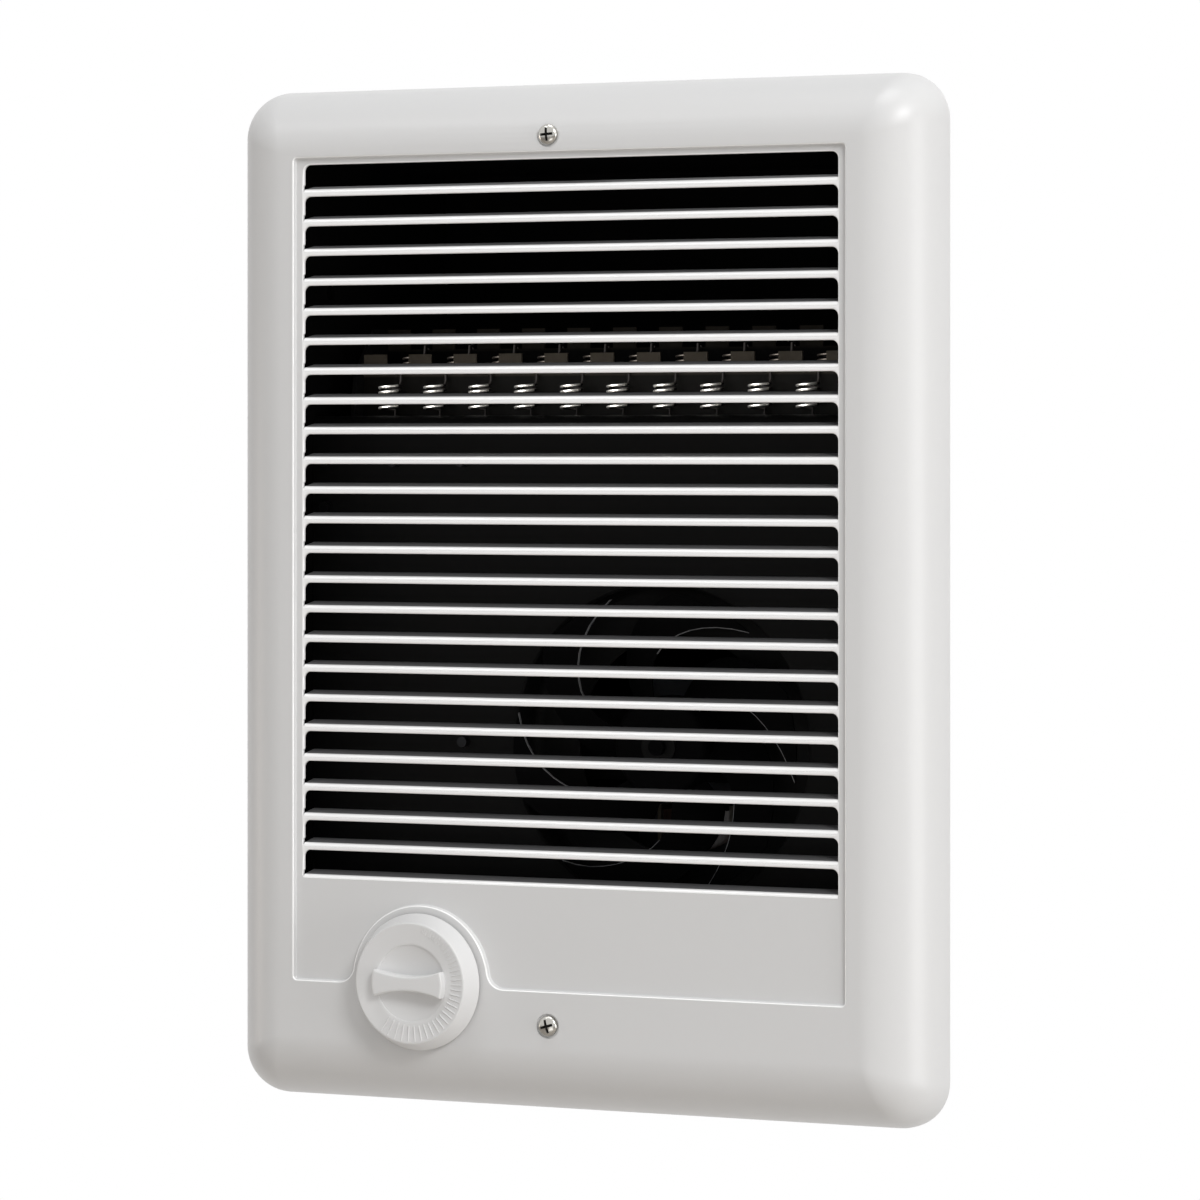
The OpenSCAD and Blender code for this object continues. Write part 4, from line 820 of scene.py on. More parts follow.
        # slots with a round upper lip, whose faces get the whiter edge enamel: painted highlight
        faces_in, faces_back = [], []
        for i in range(self.slots):
            rings = [shell.ring(at_height(self.slot_outline(i, g), z))
                     for g, z in brow(self.lip, sunk, 4) + [(0.0, sunk - t)]]
            shell.loft(rings, region=1)
            faces_in.append(rings[0])
            faces_back.append(rings[-1])
        # the bars between the slots get the whiter edge enamel: painted highlight
        shell.fill([step[-1]] + faces_in, between=1)
        # the inner side
        over, under = (shell.ring(at_height(self.outline(t), z)) for z in (top - t, sunk - t))
        shell.bridge(over, under)
        shell.fill([under] + faces_back)
        shell.fill([shell.ring(self.face_rect(top - t)), over, hub[-1]])
        body = shell.build("grille_pressing")
        hole, seat, below, above = self.screw_hole_r, top - self.dimple, 8, top + 1
        for x, y in self.screws:
            cut_away(body, turned("dimple_tool", [
                (0, below), (hole, below), (hole, seat), (self.dimple_r, seat),
                (self.dimple_r + self.dimple_slope, above), (0, above)], 48, (x, y, 0)))
        return body

    def louvre_strips(self) -> bpy.types.Object:
        """Builds the folded louvres: one strip, repeated down the panel.

        Returns:
            All the strips in one object.
        """
        sunk, tilt = self.depth - self.recess, math.radians(self.louvre_tilt)
        steps, turn, thick = self.bend_steps, math.pi / 2 - tilt, self.sheet * self.louvre_thin
        cy, cz = -self.bend * math.sin(turn), sunk - self.bend

        def fold(r: float, k: int) -> Point2:
            """Gives point k of the fold at radius r."""
            return cy + r * math.sin(turn * k / steps), cz + r * math.cos(turn * k / steps)

        outer = [fold(self.bend, k) for k in range(steps + 1)]
        inner = [fold(self.bend - thick, k) for k in range(steps, -1, -1)]
        reach = self.louvre - self.bend
        tip = (outer[-1][0] + reach * math.sin(tilt), outer[-1][1] - reach * math.cos(tilt))
        low = (tip[0] - thick * math.cos(tilt), tip[1] - thick * math.sin(tilt))
        path = outer + [tip, low] + inner
        strip, first = Shell(), self.slot_low(0)
        left, right = (strip.ring([(s * self.slot_half, first + y, z) for y, z in path])
                       for s in (-1, 1))
        # the folds get the whiter edge enamel, painted highlight; the louvres and the strip's
        # ends get the dark grey, painted shade
        for k in range(len(path)):
            n = (k + 1) % len(path)
            strip.face((left[k], left[n], right[n], right[k]), region=1 if k < steps else 2)
        strip.face(left, region=2)
        strip.face(right, region=2)
        made = Repeat(self.slots, step=(0, -self.slot_pitch, 0)).apply(
            strip.build("grille_louvres"), ENAMEL)
        # the last slot reaches a little lower, and its louvre with it
        last = (self.slot_low(self.slots - 2) - self.slot_pitch * 0.5) * MM
        for corner in made.data.vertices:
            if corner.co.z < last:
                corner.co.z -= self.end_extra * MM
        return made

    def build(self) -> None:
        """Builds and dresses the grille as one piece of sheet."""
        whole = joined("grille_pressing", [self.sheet_body(), self.louvre_strips()])
        smooth_over(whole, 38)
        dress(whole, (ENAMEL, ENAMEL_EDGE_HIGHLIGHT, LOUVRE_PAINTED_SHADE), "root", ("grille",))


@dataclass
class GrilleScrews:
    """Two pan head screws with a cross recess."""

    head_d: float = 6.1
    head_h: float = 1.9
    brim_share: float = 0.35
    head_foot: float = 0.12
    head_chamfer: float = 0.1
    shank_d: float = 4.2
    length: float = 25.4
    # threads: where they start and end, their pitch, their depth and their root and crest
    thread_from: float = 2.0
    thread_spare: float = 3.0
    pitch: float = 1.4
    thread_deep: float = 0.55
    root_share: float = 0.35
    crest_share: float = 0.7
    tip_cut: Point2 = (0.6, 0.8)
    seat_z: float = 20.7
    top: Point2 = (-4.7, 136.4)
    spacing: float = 262.5
    first_turn: float = 4.0
    turn: float = 12.0
    cross_mouth: float = 2.35
    cross_floor: float = 1.2
    cross_half: float = 0.42
    cross_deep: float = 1.75
    cross_above: float = 0.3
    cross_taper: float = 0.6
    recess_r: float = 2.6
    recess_below: float = 0.1

    def dome(self, out: float) -> float:
        """Gives the height of the head at a distance from its middle."""
        share = math.sqrt(max(0.0, 1 - (out / (self.head_d / 2)) ** 2))
        return self.head_h * (self.brim_share + (1 - self.brim_share) * share)

    def cross(self, quarter: float) -> Shell:
        """Builds one bar of the tool that leaves the cross recess.

        Args:
            quarter: how far the bar is turned, in degrees.

        Returns:
            The bar, which tapers towards its foot.
        """
        wing, turn = Shell(), math.radians(quarter)
        c, s = math.cos(turn), math.sin(turn)
        rings = [wing.ring([(a * c - b * s, a * s + b * c, z)
                            for a, b in ((-x, -y), (x, -y), (x, y), (-x, y))])
                 for x, y, z in (
                     (self.cross_mouth, self.cross_half, self.head_h + self.cross_above),
                     (self.cross_floor, self.cross_half * self.cross_taper,
                      self.head_h - self.cross_deep))]
        wing.loft(rings)
        wing.face(rings[0])
        wing.face(rings[1])
        return wing

    def build(self) -> None:
        """Builds one screw, marks its recess, repeats it and dresses the pair."""
        r, h, s = self.head_d / 2, self.head_h, self.shank_d / 2
        profile = [(0, h), *((r * math.sin(a), self.dome(r * math.sin(a)))
                             for a in swing(12, 1)), (r, self.head_foot),
                   (r - self.head_chamfer, 0), (s, 0)]
        root = s - self.thread_deep
        for k in range(int((self.length - self.thread_spare) / self.pitch)):
            z = -self.thread_from - k * self.pitch
            profile += [(root, z), (root, z - self.pitch * self.root_share),
                        (s, z - self.pitch * self.crest_share)]
        profile += [(s - self.tip_cut[0], -self.length + self.tip_cut[1]), (0, -self.length)]
        screw = turned("grille_screw_pair", profile, 48)
        for quarter in (0, 90):
            cut_away(screw, self.cross(quarter).build("cross_tool"))
        # the faces of the recess lie below the dome; they get the dark recess colour, painted
        # shade
        marks = screw.data.attributes["region"].data
        for face in screw.data.polygons:
            c = face.center / MM
            out = math.hypot(c.x, c.z)
            low = 0 < -c.y < self.dome(out) - self.recess_below
            marks[face.index].value = int(out < self.recess_r and low)
        Repeat(2, step=(0, -self.spacing, 0), start=self.first_turn, turn=self.turn,
               seat=(*self.top, self.seat_z)).apply(screw, BRIGHT_NICKEL)
        smooth_over(screw, 30)
        dress(screw, (BRIGHT_NICKEL, SCREW_RECESS_SHADE), "root", ("grille_screws",))


# ---- knob


@dataclass
class Knob:
    """Moulded thermostat knob: skirt, ribbed ring, two finger dishes and a grip bar."""

    centre: Point2 = (-47.1, -114.8)
    back_z: float = 22.1
    skirt_d: float = 40.7
    face_d: float = 36.4
    high: float = 5.9
    ring_drop: float = 0.4
    # (out, up) from the ring's inner rim, over its rounded inner edge
    ring_edge: tuple[Point2, ...] = ((0.08, -0.16), (0.3, -0.03), (0.8, 0.0))
    # round outer edge of the face: where its middle and the flat face's end lie, and its size
    edge_in: float = 0.55
    face_end: float = 0.75
    edge_round: float = 0.6
    # (out, height) from the skirt's outside, over its edge to its hollow back
    skirt_edge: tuple[Point2, ...] = ((-0.12, 0.75), (0.0, 0.45), (0.0, 0.15), (-0.15, 0.0),
                                      (-1.5, 0.0))
    wall: float = 1.8
    inner_r: float = 12.0
    dish_d: float = 22.6
    dish_deep: float = 2.0
    dish_ball: float = 40.0
    grip_up: float = 2.6
    grip_end: float = 8.4
    grip_mid: float = 4.4
    grip_root: float = 3.4
    # (inset, drop) of the rings that round the grip's crown
    grip_crown: tuple[Point2, ...] = ((0.0, 0.55), (0.06, 0.32), (0.2, 0.13), (0.42, 0.03),
                                      (0.75, 0.0))
    ribs: int = 38
    rib_start: float = 75.0
    rib_turn: float = -2.4
    rib_gain: float = -0.08
    rib_growth: float = 0.045
    rib_half: float = 0.15
    rib_high: float = 0.1
    rib_reach: float = 2.1
    rib_sink: float = 0.03
    hub_lift: float = 0.2
    hub_z: float = -4.4
    hub_r: float = 5.0
    bore_r: float = 3.13
    bore_top: float = 2.7

    def body(self) -> bpy.types.Object:
        """Turns the round body.

        Returns:
            The knob without its grip and its ribs.
        """
        r, face, skirt, high = self.dish_d / 2, self.face_d / 2, self.skirt_d / 2, self.high
        rim, under, ball = high - self.ring_drop, high - self.wall, self.dish_ball
        # hollow dish, edge of the ring, its flat face, its outer edge, skirt, hollow back, hub
        profile = [(r * k / 10, rim - self.dish_deep + ball
                    - math.sqrt(ball ** 2 - (r * k / 10) ** 2)) for k in range(11)]
        profile += [(r + out, rim + up) for out, up in self.ring_edge]
        profile += [(face - self.face_end, high - 0.02)]
        profile += [(face - self.edge_in + self.edge_round * math.sin(a),
                     high - self.edge_round + self.edge_round * math.cos(a))
                    for a in swing(5, 1, 72)]
        profile += [(skirt + out, up) for out, up in self.skirt_edge]
        profile += [(face - self.wall, under), (self.inner_r, under),
                    (self.inner_r, self.hub_lift), (self.hub_r, self.hub_lift),
                    (self.hub_r, self.hub_z), (self.bore_r, self.hub_z),
                    (self.bore_r, self.bore_top), (0, self.bore_top)]
        return turned("thermostat_knob", profile, 128, (*self.centre, self.back_z))

    def grip(self) -> bpy.types.Object:
        """Builds the grip bar: hollow sides, ends on the ring's inner circle.

        Returns:
            The bar.
        """
        reach, end = self.dish_d / 2 + 0.5, self.grip_end / 2
        sag = (self.grip_end - self.grip_mid) / 2
        ball = (reach * reach + sag * sag) / (2 * sag)
        end_x = math.sqrt(reach ** 2 - end ** 2)
        xs = [-end_x + 2 * end_x * k / 28 for k in range(29)]
        side = [(x, self.grip_mid / 2 + ball - math.sqrt(ball ** 2 - x * x)) for x in xs]
        turns = [math.asin(end / reach) * (1 - k / 5) for k in range(1, 10)]
        cap = [(reach * math.cos(a), reach * math.sin(a)) for a in turns]
        path = side + cap + [(x, -y) for x, y in reversed(side)] + [(-x, -y) for x, y in cap]
        crown = self.high - self.ring_drop + self.grip_up
        shell = Shell()
        levels = [(0.0, self.high - self.grip_root),
                  *((inset, crown - drop) for inset, drop in self.grip_crown)]
        rings = [shell.ring([(x - inset * x / reach, y - math.copysign(min(inset, abs(y)), y), z)
                             for x, y in path]) for inset, z in levels]
        shell.loft(rings)
        shell.face(rings[0])
        shell.fill([rings[-1]])
        return shell.build("thermostat_knob_grip", (*self.centre, self.back_z))

    def rib_ring(self) -> bpy.types.Object:
        """Builds the ribs on the ring, which grow wider and higher round the dial.

        Returns:
            All the ribs in one object.
        """
        rib, half, high, reach = Shell(), self.rib_half, self.rib_high, self.rib_reach
        p, q, r, s = rib.ring([(0, -half, -0.2), (0, half, -0.2), (-reach, half * 0.5, -0.2),
                               (-reach, -half * 0.5, -0.2)])
        near, far = rib.ring([(-0.05, 0, high), (0.3 - reach, 0, high * 0.6)])
        for corners in ((p, q, near), (q, r, far, near), (r, s, far), (s, p, near, far),
                        (s, r, q, p)):
            rib.face(corners)
        return Repeat(self.ribs, radius=self.face_d / 2 - self.face_end, start=self.rib_start,
                      turn=self.rib_turn, turn_gain=self.rib_gain, size_gain=self.rib_growth,
                      seat=(*self.centre, self.back_z + self.high - self.rib_sink)).apply(
            rib.build("thermostat_knob_ribs"), KNOB_PLASTIC)

    def build(self) -> None:
        """Builds and dresses the knob as one moulding."""
        whole = joined("thermostat_knob", [self.body(), self.grip(), self.rib_ring()])
        smooth_over(whole, 34)
        dress(whole, (KNOB_PLASTIC,), "knob", ("knob",))


# ---- fan wheel


@dataclass
class FanWheel:
    """Sheet fan: cambered blades on a drawn cup with a collar for the shaft."""

    centre: Point2 = (17.2, -44.95)
    tip_r: float = 46.15
    root_share: float = 0.3
    rows: int = 14
    chords: int = 14
    blades: int = 6
    start: float = 45.0
    pitch: float = 33.0
    wide: float = 34.0
    camber: float = 48.0
    edge_highlight: float = 0.55
    edge_highlight_from: float = 0.56
    thick: float = 0.9
    blade_z: float = 12.5
    cup_d: float = 30.0
    cup_h: float = 11.0
    cup_z: float = 9.5
    cup_t: float = 1.0
    cup_bend: float = 2.0
    cup_inner_bend: float = 1.2
    collar_r: float = 5.2
    collar_past: float = 2.5
    bore_r: float = 2.51
    # (share of the tip radius, angle) along the leading edge
    edge_lean: tuple[Point2, ...] = ((0.3, -2), (0.52, -8), (0.65, -18.3), (0.737, -27.2),
                                     (0.823, -36.5), (0.91, -46.3), (1, -56.8))

    def lean(self, share: float) -> float:
        """Gives the angle of the leading edge.

        Args:
            share: share of the tip radius.

        Returns:
            The angle, in degrees.
        """
        marks = self.edge_lean
        for (s0, a0), (s1, a1) in zip(marks, marks[1:]):
            if share <= s1:
                return a0 + (a1 - a0) * (share - s0) / (s1 - s0)
        return marks[-1][1]

    def blade(self) -> bpy.types.Object:
        """Builds one blade, drawn round the axis of the fan, and repeats it.

        Returns:
            All the blades in one object.
        """
        shell, p, rows = Shell(), math.radians(self.pitch), self.rows
        steps = [0.0, self.edge_highlight, *(self.wide * k / self.chords
                                   for k in range(1, self.chords + 1))]
        shares = [self.root_share + (1 - self.root_share) * i / rows for i in range(rows + 1)]
        front = []
        for share in shares:
            row = []
            for step in steps:
                a = math.radians(self.lean(share) + step)
                x, y = self.tip_r * share * math.cos(a), self.tip_r * share * math.sin(a)
                drop = self.camber ** 2 - (y + self.camber * math.sin(p)) ** 2
                z = -self.blade_z - self.camber * math.cos(p) + math.sqrt(max(drop, 0.0))
                row.append((x, y, z))
            front.append(shell.ring(row))
        back = [shell.ring([(x, y, z - self.thick)
                            for x, y, z in (shell.points[n] for n in row)]) for row in front]
        # the outer part of the leading edge gets the grey edge: painted highlight
        edge_highlight_rows = [int(share >= self.edge_highlight_from) for share in shares]
        for a, b, c, d, edge_highlight in zip(front, front[1:], back, back[1:], edge_highlight_rows):
            for k in range(len(a) - 1):
                shell.face((a[k], a[k + 1], b[k + 1], b[k]), edge_highlight if k == 0 else 0)
                shell.face((c[k + 1], c[k], d[k], d[k + 1]))
            shell.face((b[0], a[0], c[0], d[0]), edge_highlight)
            shell.face((a[-1], b[-1], d[-1], c[-1]))
        shell.bridge(front[0], back[0], closed=False)
        shell.bridge(back[-1], front[-1], closed=False)
        return Repeat(self.blades, start=self.start, turn=360 / self.blades,
                      seat=(*self.centre, 0)).apply(shell.build("fan_blades"), FAN_SHEET)

    def cup(self) -> bpy.types.Object:
        """Turns the cup and its collar.

        Returns:
            The cup.
        """
        r, t, z0, bend = self.cup_d / 2, self.cup_t, -self.cup_z, self.cup_bend
        z1 = z0 - self.cup_h
        end = z1 - self.collar_past
        profile = [(self.bore_r, z0)]
        profile += [(r - bend + bend * math.sin(a), z0 - bend + bend * math.cos(a))
                    for a in swing(6)]
        inner = self.cup_inner_bend
        profile += [(r, z1), (r - t, z1), (r - t, z0 - t - inner), (r - t - inner, z0 - t),
                    (self.collar_r, z0 - t), (self.collar_r, end), (self.bore_r, end),
                    (self.bore_r, z0)]
        return turned("fan_cup", profile, 72, (*self.centre, 0))

    def build(self) -> None:
        """Builds and dresses the fan wheel."""
        whole = joined("fan_wheel_pressing", [self.cup(), self.blade()])
        smooth_over(whole, 36)
        dress(whole, (FAN_SHEET, FAN_EDGE_HIGHLIGHT), "fan", ("fan_wheel",))


# ---- heating wire


def swept(name: str, path: Sequence[Vector], r: float, sides: int) -> bpy.types.Object:
    """Builds a closed round tube along a path.

    Args:
        name: the object's name.
        path: lying points, in millimetres.
        r: the tube's radius.
        sides: faces round the tube.

    Returns:
        The tube.
    """
    legs = [(b - a).normalized() for a, b in zip(path, path[1:])]
    ways = [legs[0], *((a + b).normalized() for a, b in zip(legs, legs[1:])), legs[-1]]
    side = Vector((0, 0, 1)) if abs(ways[0].z) < 0.9 else Vector((1, 0, 0))
    shell, rings = Shell(), []
    for here, way in zip(path, ways):
        side = (side - side.dot(way) * way).normalized()
        up = way.cross(side)
        rings.append(shell.ring([
            tuple(here + r * (math.cos(a) * side + math.sin(a) * up)) for a in circle(sides)]))
    shell.loft(rings)
    shell.face(rings[0])
    shell.face(rings[-1])
    return shell.build(name)


@dataclass
class HeatingCoil:
    """One unbroken resistance wire: upright curls in front of each mica card."""

    mica_z: float = 25.0
    mica_gap: float = 16.0
    mica_t: float = 0.8
    step: float = 8.0
    off: float = 4.8
    curl_r: float = 3.2
    wire_r: float = 0.39
    bright_from: float = 0.7
    curl_pitch: float = 1.56
    front_curls: float = 4.875
    rear_curls: float = 4.375
    curl_end: float = -45.0
    head: float = 63.5
    rear_lift: float = 9.15
    hook_right: float = 1.7
    sites: int = 10
    site_first: float = -78.92
    site_pitch: float = 15.518
    card_low: float = 49.85
    card_notch: float = 66.75
    hook_up: float = 0.9
    link_down: float = 0.95
    card_clear: float = 1.6
    slant: float = 2.6
    ends: Point2 = (-83.5, 80.9)
    end_y: float = 44.85
    turns: int = 18

    def curls(self, x: float, z: float, top: float, count: float) -> list[Point3]:
        """Gives upright curls.

        Args:
            x, z: the middle of the curls.
            top: height of their upper end.
            count: number of turns.

        Returns:
            Lying points from the lower end up.
        """
        total = round(count * self.turns)
        made = []
        for i in range(total + 1):
            left = (total - i) / self.turns
            a = math.radians(self.curl_end + 360 * left)
            made.append((x + self.curl_r * math.cos(a), top - left * self.curl_pitch,
                         z + self.curl_r * math.sin(a)))
        return made

    def path(self) -> list[Vector]:
        """Gives the whole way of the wire, from one clip to the other.

        Returns:
            Lying points: curls in front of each card, hooks over both cards, links below.
        """
        card, back_card = -self.mica_z, -self.mica_z - self.mica_gap
        front, rear = card + self.off, back_card + self.off
        near_f, near_r = front - self.curl_r, rear - self.curl_r
        behind = back_card - self.mica_t - self.card_clear
        far_end = card - self.mica_t - self.off + self.curl_r
        hook, link = self.card_notch + self.hook_up, self.card_low - self.link_down
        high, slant, head = hook + self.step, self.slant, self.head
        rear_head = head + self.rear_lift
        (e0, e1), first = self.ends, self.site_first
        way = [(e0, self.end_y, near_f), (e0, link - 1, near_f), (e0 + 2, link + 0.6, near_f),
               (first, link + slant, near_f)]
        for k in range(self.sites):
            x = first + k * self.site_pitch
            # up through the curls, over the front card, down and up again, over the rear card
            over, after = x + self.hook_right, x + self.site_pitch
            way += self.curls(x, front, head, self.front_curls)
            way += [(over + 0.4, head + 1, near_f), (over, hook, card + 0.6),
                    (over, hook, card - self.mica_t - 0.8),
                    (x + 0.8, rear_head - 7, rear + self.curl_r + 1.4)]
            way += self.curls(x, rear, rear_head, self.rear_curls)
            way += [(over + 0.4, rear_head + 1, near_r), (over, high, near_r - 1),
                    (over, high, behind + 0.6), (over, high - 1.5, behind),
                    (over, link + slant, behind), (over + slant, link, behind + 1)]
            if k < self.sites - 1:
                way += [(after - slant, link, near_f), (after, link + slant, near_f)]
        way += [(e1 - 2, link, far_end), (e1, link - 1.5, far_end), (e1, self.end_y, far_end)]
        return [Vector(p) for p in way]

    def build(self) -> bpy.types.Object:
        """Builds the wire, marks its rows and dresses it.

        Returns:
            The wire.
        """
        wire = swept("heating_coil_wire", self.path(), self.wire_r, 12)
        marks = wire.data.attributes["region"].data
        # front curls stay bright (0), rear curls get the darker wire (2), all else the near black
        # (1): painted shade
        front = self.mica_z - self.off
        rows = ((front, 0), (front + self.mica_gap, 2))
        for face in wire.data.polygons:
            depth = face.center.y / MM
            found = [kind for y, kind in rows
                     if y - self.curl_r - 1 < depth < y - self.bright_from]
            marks[face.index].value = found[0] if found else 1
        smooth_over(wire, 50)
        return dress(wire, (RESISTANCE, WIRE_PAINTED_SHADE, REAR_WIRE_PAINTED_SHADE), "root",
                     ("heating_coil",))


# ---- pieces kept from the frame


@dataclass
class Chassis:
    """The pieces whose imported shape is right, so that they only get their finish."""

    plain: tuple[tuple[Finish, str], ...] = (
        (GREEN_SCREW, "ground_screw"),
        (ZINC_PLATE, "deck_screws front_bearing_bracket rear_bearing_bracket motor_spacers"),
        (ZINC_PLATE, "motor_bolts motor_nuts thermostat_cover"),
        (BLACK_RUBBER, "wire_grommet"),
        # the fan clip gets stove black: painted shade in the dark hub
        (STOVE_BLACK, "fan_clip fan_deck motor_strap element_bracket_left"),
        (STOVE_BLACK, "element_bracket_right"),
        (GROUND_STEEL, "motor_shaft"),
        (ROTOR_STEEL, "rotor"),
        (LAMINATION, "stator_stack"),
        (COPPER, "shading_rings"),
        (NYLON_PAINTED_SHADE, "coil_bobbin"),
        (MAGNET_WIRE, "field_coil"),
        (BRASS, "motor_terminals element_terminals limit_terminals thermostat_terminals"),
        (BRASS, "thermostat_shaft"),
        (BEARING_BRONZE, "bearings"),
        (BLACK_SCREW, "sheet_screws"),
        (STEATITE, "element_insulators"),
        (MICA, "front_mica_card"),
        (MICA_PAINTED_SHADE, "rear_mica_card"),
        (PHENOLIC, "limit_switch thermostat_base"),
        (GALVANISED, "wall_can thermostat_bracket"),
        (BIMETAL, "thermostat_bimetal"),
        (RED_SLEEVE, "wire_thermostat_to_limit wire_limit_to_element"),
        (WHITE_SLEEVE, "wire_element_to_motor wire_motor_to_thermostat"))
    # inside of the can, in metres: left, right, rear, low, high
    can_inside: tuple[float, ...] = (-0.1012, 0.1012, 0.1005, -0.1215, 0.1318)
    shaft_painted_shade_front: float = 0.010

    def build(self, nodes: dict[str, bpy.types.Object]) -> None:
        """Gives each node its finish.

        Args:
            nodes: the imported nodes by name.
        """
        for finish, names in self.plain:
            for name in names.split():
                materials = nodes[name].data.materials
                materials.clear()
                materials.append(finish.material())
                LOG.info("%s: %s", name, finish.name)
        x0, x1, y1, z0, z1 = self.can_inside
        # every face inside the can gets the dull black: painted shade
        self.coat(nodes["wall_can"], CAN_INSIDE_PAINTED_SHADE, lambda p: (
            x0 < p.x < x1 and p.y < y1 and z0 < p.z < z1))
        # the shaft's end in front of the cup gets the fan's black: painted shade in the dark hub
        self.coat(nodes["motor_shaft"], FAN_SHEET, lambda p: p.y < self.shaft_painted_shade_front)

    def coat(self, piece: bpy.types.Object, finish: Finish,
             covers: Callable[[Vector], bool]) -> None:
        """Gives a second finish to every face with a corner in the space that covers tells.

        Args:
            piece: the node.
            finish: the second finish.
            covers: tells whether a point lies in that space.
        """
        piece.data.materials.append(finish.material())
        points = piece.data.vertices
        for face in piece.data.polygons:
            face.material_index = int(any(covers(points[n].co) for n in face.vertices))


# ---- studio


@dataclass(frozen=True)
class Lamp:
    """One soft lamp: where it stands, its size, its power and its colour."""

    name: str
    place: Point3
    size: float
    power: float
    colour: str = "FFFFFF"


@dataclass
class Studio:
    """Camera, soft lamps, a pale floor and the white wall round the can, all in metres."""

    focal: float = 156.49
    sensor: float = 36.0
    camera_at: Point3 = (0.66845, -1.40116, 0.043365)
    azimuth: float = 25.4307
    shift_y: float = -0.12468
    # left, right, low and high side of the opening in the wall
    opening: tuple[float, float, float, float] = (-0.1027, 0.1027, -0.1231, 0.1334)
    wall_half: float = 1.4
    floor_half: float = 4.0
    floor_z: float = -0.62
    lamps: tuple[Lamp, ...] = (
        Lamp("key_lamp", (1.6, -1.3, 1.25), 0.8, 23.5),
        Lamp("top_lamp", (0.0, -0.55, 1.9), 1.0, 10.6),
        Lamp("right_lamp", (2.2, -0.3, -0.15), 1.2, 16.5),
        Lamp("left_lamp", (-1.9, -0.35, -0.2), 0.5, 1.9, "FFF2E6"),
        Lamp("low_lamp", (0.1, -1.0, -0.55), 0.6, 1.5),
        Lamp("upper_line_lamp", (-0.95, -1.17, 1.6), 0.3, 2.4))
    glint: Lamp = Lamp("coil_glint_lamp", (-1.0, -2.3, 1.0), 2.2, 420.0)
    ambient: float = 0.33
    # open holes in the left wall of the can: depth, height and radius
    holes: tuple[Point3, ...] = ((0.022, 0.09215, 0.0034), (0.022, -0.08185, 0.0034),
                                 (0.060, -0.09185, 0.0125))
    hole_x: float = -0.1019
    hole_sides: int = 24

    def camera(self) -> None:
        """Places the camera at the photograph's view."""
        lens = bpy.data.cameras.new("photo_camera")
        lens.lens = self.focal
        lens.sensor_width = self.sensor
        lens.shift_y = self.shift_y
        lens.clip_end = 50.0
        eye = linked("photo_camera", lens)
        eye.location = self.camera_at
        eye.rotation_euler = (math.pi / 2, 0, math.radians(self.azimuth))
        bpy.context.scene.camera = eye

    def lamp(self, spec: Lamp) -> bpy.types.Object:
        """Adds one area lamp that points at the grille.

        Args:
            spec: what the lamp is like.

        Returns:
            The lamp.
        """
        light = bpy.data.lights.new(spec.name, "AREA")
        light.shape = "DISK"
        light.size = spec.size
        light.energy = spec.power
        light.color = linear(spec.colour)[:3]
        made = linked(spec.name, light)
        made.location = spec.place
        made.rotation_euler = (-Vector(spec.place)).to_track_quat("-Z", "Y").to_euler()
        return made

    def glisten(self, wire: bpy.types.Object) -> None:
        """Adds the lamp that only the resistance wire catches.

        Args:
            wire: the dressed heating coil.
        """
        lamp = self.lamp(self.glint)
        only = bpy.data.collections.new("coil_alone")
        only.objects.link(wire)
        lamp.light_linking.receiver_collection = only
        lamp.light_linking.blocker_collection = only

    def seen(self, tree: bpy.types.NodeTree) -> tuple:
        """Tells where the camera looks, straight, by a mirror or through glass.

        Args:
            tree: the node tree of a material or of the world.

        Returns:
            The link that holds 1 there and 0 for all other light.
        """
        ray = add_node(tree, "ShaderNodeLightPath")
        direct = calc(tree, "MAXIMUM", (ray, "Is Camera Ray"), (ray, "Is Glossy Ray"))
        return calc(tree, "MAXIMUM", direct, (ray, "Is Transmission Ray"))

    def backdrop(self, name: str, points: Sequence[Point3], faces: Sequence[Sequence[int]],
                 colour: str, glows: bool = False, one_sided: bool = False) -> None:
        """Adds a piece of the studio with its dull material.

        Args:
            name: the piece's name.
            points: its points.
            faces: its faces.
            colour: the colour that the lamps see.
            glows: whether it is pure white where the camera looks at it.
            one_sided: whether its back lets the view through.
        """
        made, tree = new_material(name + "_finish")
        last = add_node(tree, "ShaderNodeBsdfDiffuse", {"Color": linear(colour)})
        if glows:
            glow = add_node(tree, "ShaderNodeEmission", {"Color": WHITE, "Strength": 1.0})
            last = add_node(tree, "ShaderNodeMixShader", {
                0: self.seen(tree), 1: (last, 0), 2: (glow, 0)})
        if one_sided:
            side = add_node(tree, "ShaderNodeNewGeometry")
            clear = add_node(tree, "ShaderNodeBsdfTransparent")
            last = add_node(tree, "ShaderNodeMixShader", {
                0: (side, "Backfacing"), 1: (last, 0), 2: (clear, 0)})
        add_node(tree, "ShaderNodeOutputMaterial", {"Surface": (last, 0)})
        mesh = bpy.data.meshes.new(name)
        mesh.from_pydata(points, [], faces)
        mesh.materials.append(made)
        linked(name, mesh)

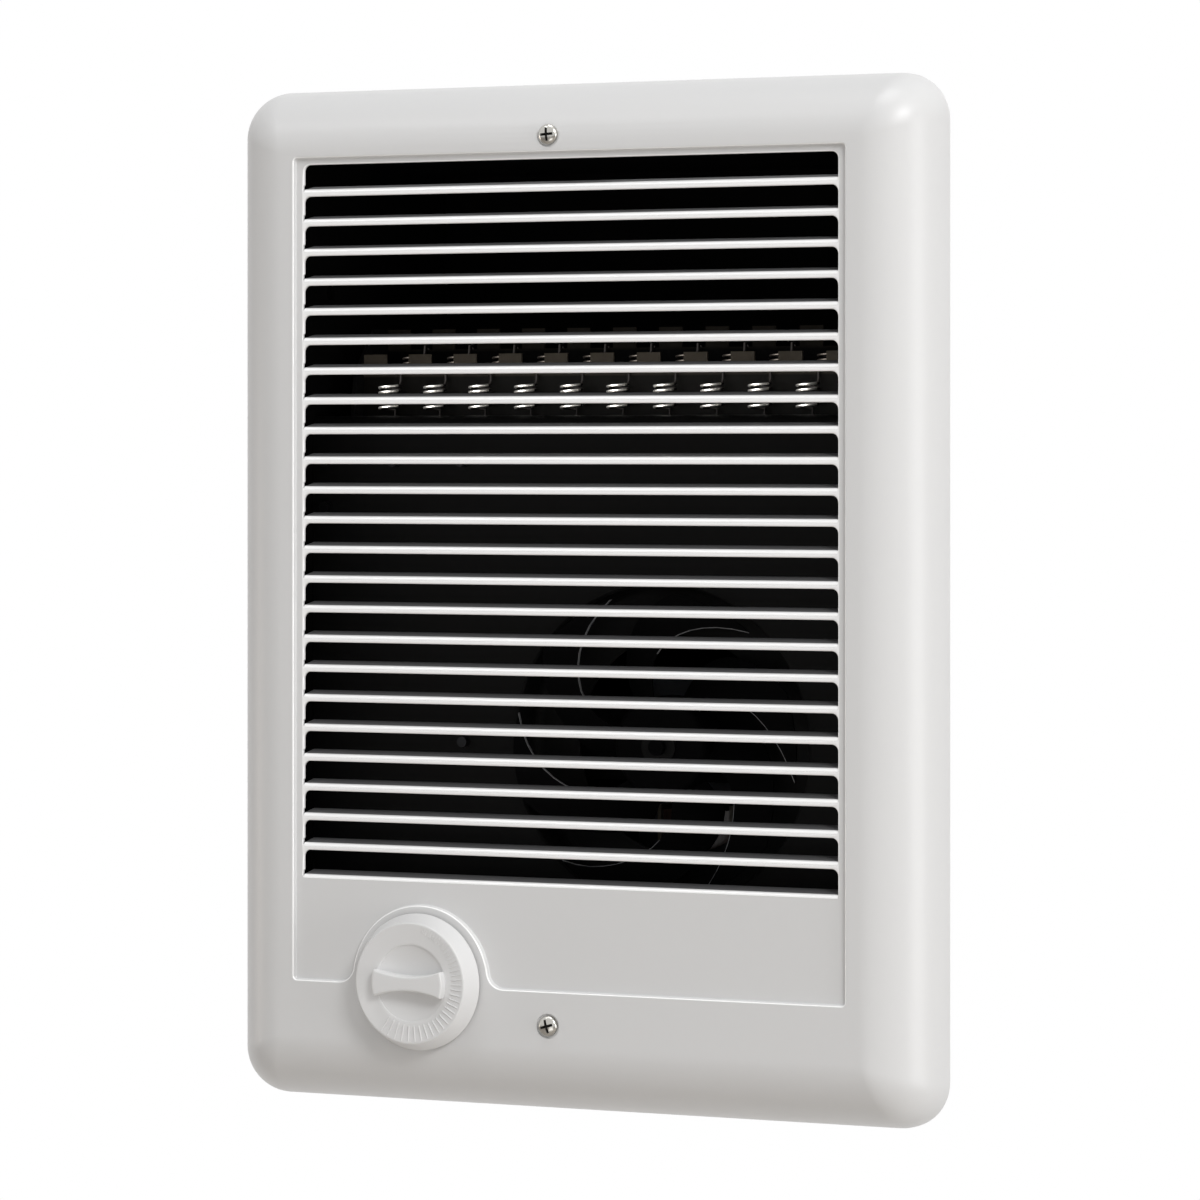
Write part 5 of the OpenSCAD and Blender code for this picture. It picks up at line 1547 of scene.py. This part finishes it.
    def wall(self) -> None:
        """Adds the white wall round the can, with its opening."""
        far = self.wall_half
        rims = [[(x0, 0.0, z0), (x1, 0.0, z0), (x1, 0.0, z1), (x0, 0.0, z1)]
                for x0, x1, z0, z1 in ((-far, far, -far, far), self.opening)]
        self.backdrop("studio_wall", rims[0] + rims[1],
                      [(k, (k + 1) % 4, (k + 1) % 4 + 4, k + 4) for k in range(4)],
                      "C9C9C9", glows=True, one_sided=True)

    def shades(self) -> None:
        """Adds dark discs outside the open holes of the can, seen from inside it only."""
        sides = self.hole_sides
        points = [(self.hole_x, y + r * math.cos(a), z + r * math.sin(a))
                  for y, z, r in self.holes for a in circle(sides)]
        self.backdrop("studio_hole_shades", points,
                      [range(k, k + sides) for k in range(0, len(points), sides)],
                      "0A0A0A", one_sided=True)

    def floor(self) -> None:
        """Adds the pale floor well below the heater."""
        far, z = self.floor_half, self.floor_z
        self.backdrop("studio_floor", [(-far, -far, z), (far, -far, z), (far, far, z),
                                       (-far, far, z)], [(0, 1, 2, 3)], "CDC7C0")

    def world(self) -> None:
        """Sets the soft light from all round, white where the camera looks."""
        world = bpy.data.worlds.new("studio")
        world.use_nodes = True
        tree = world.node_tree
        tree.nodes.clear()
        strength = add_node(tree, "ShaderNodeMapRange", {
            "Value": self.seen(tree), "To Min": self.ambient, "To Max": 1.0})
        sky = add_node(tree, "ShaderNodeBackground", {"Color": WHITE, "Strength": (strength, 0)})
        add_node(tree, "ShaderNodeOutputWorld", {"Surface": (sky, 0)})
        bpy.context.scene.world = world

    def build(self) -> None:
        """Builds the whole studio."""
        self.camera()
        for spec in self.lamps:
            self.lamp(spec)
        self.wall()
        self.shades()
        self.floor()
        self.world()
        bpy.context.scene.view_settings.view_transform = "Standard"


def main() -> None:
    """Loads the frame, builds every sub-assembly and writes how large the result is."""
    logging.basicConfig(level=logging.INFO, format="%(message)s")
    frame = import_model()
    studio = Studio()
    studio.build()
    Chassis().build(frame["nodes"])
    Grille().build()
    GrilleScrews().build()
    Knob().build()
    FanWheel().build()
    studio.glisten(HeatingCoil().build())


if __name__ == "__main__":
    main()
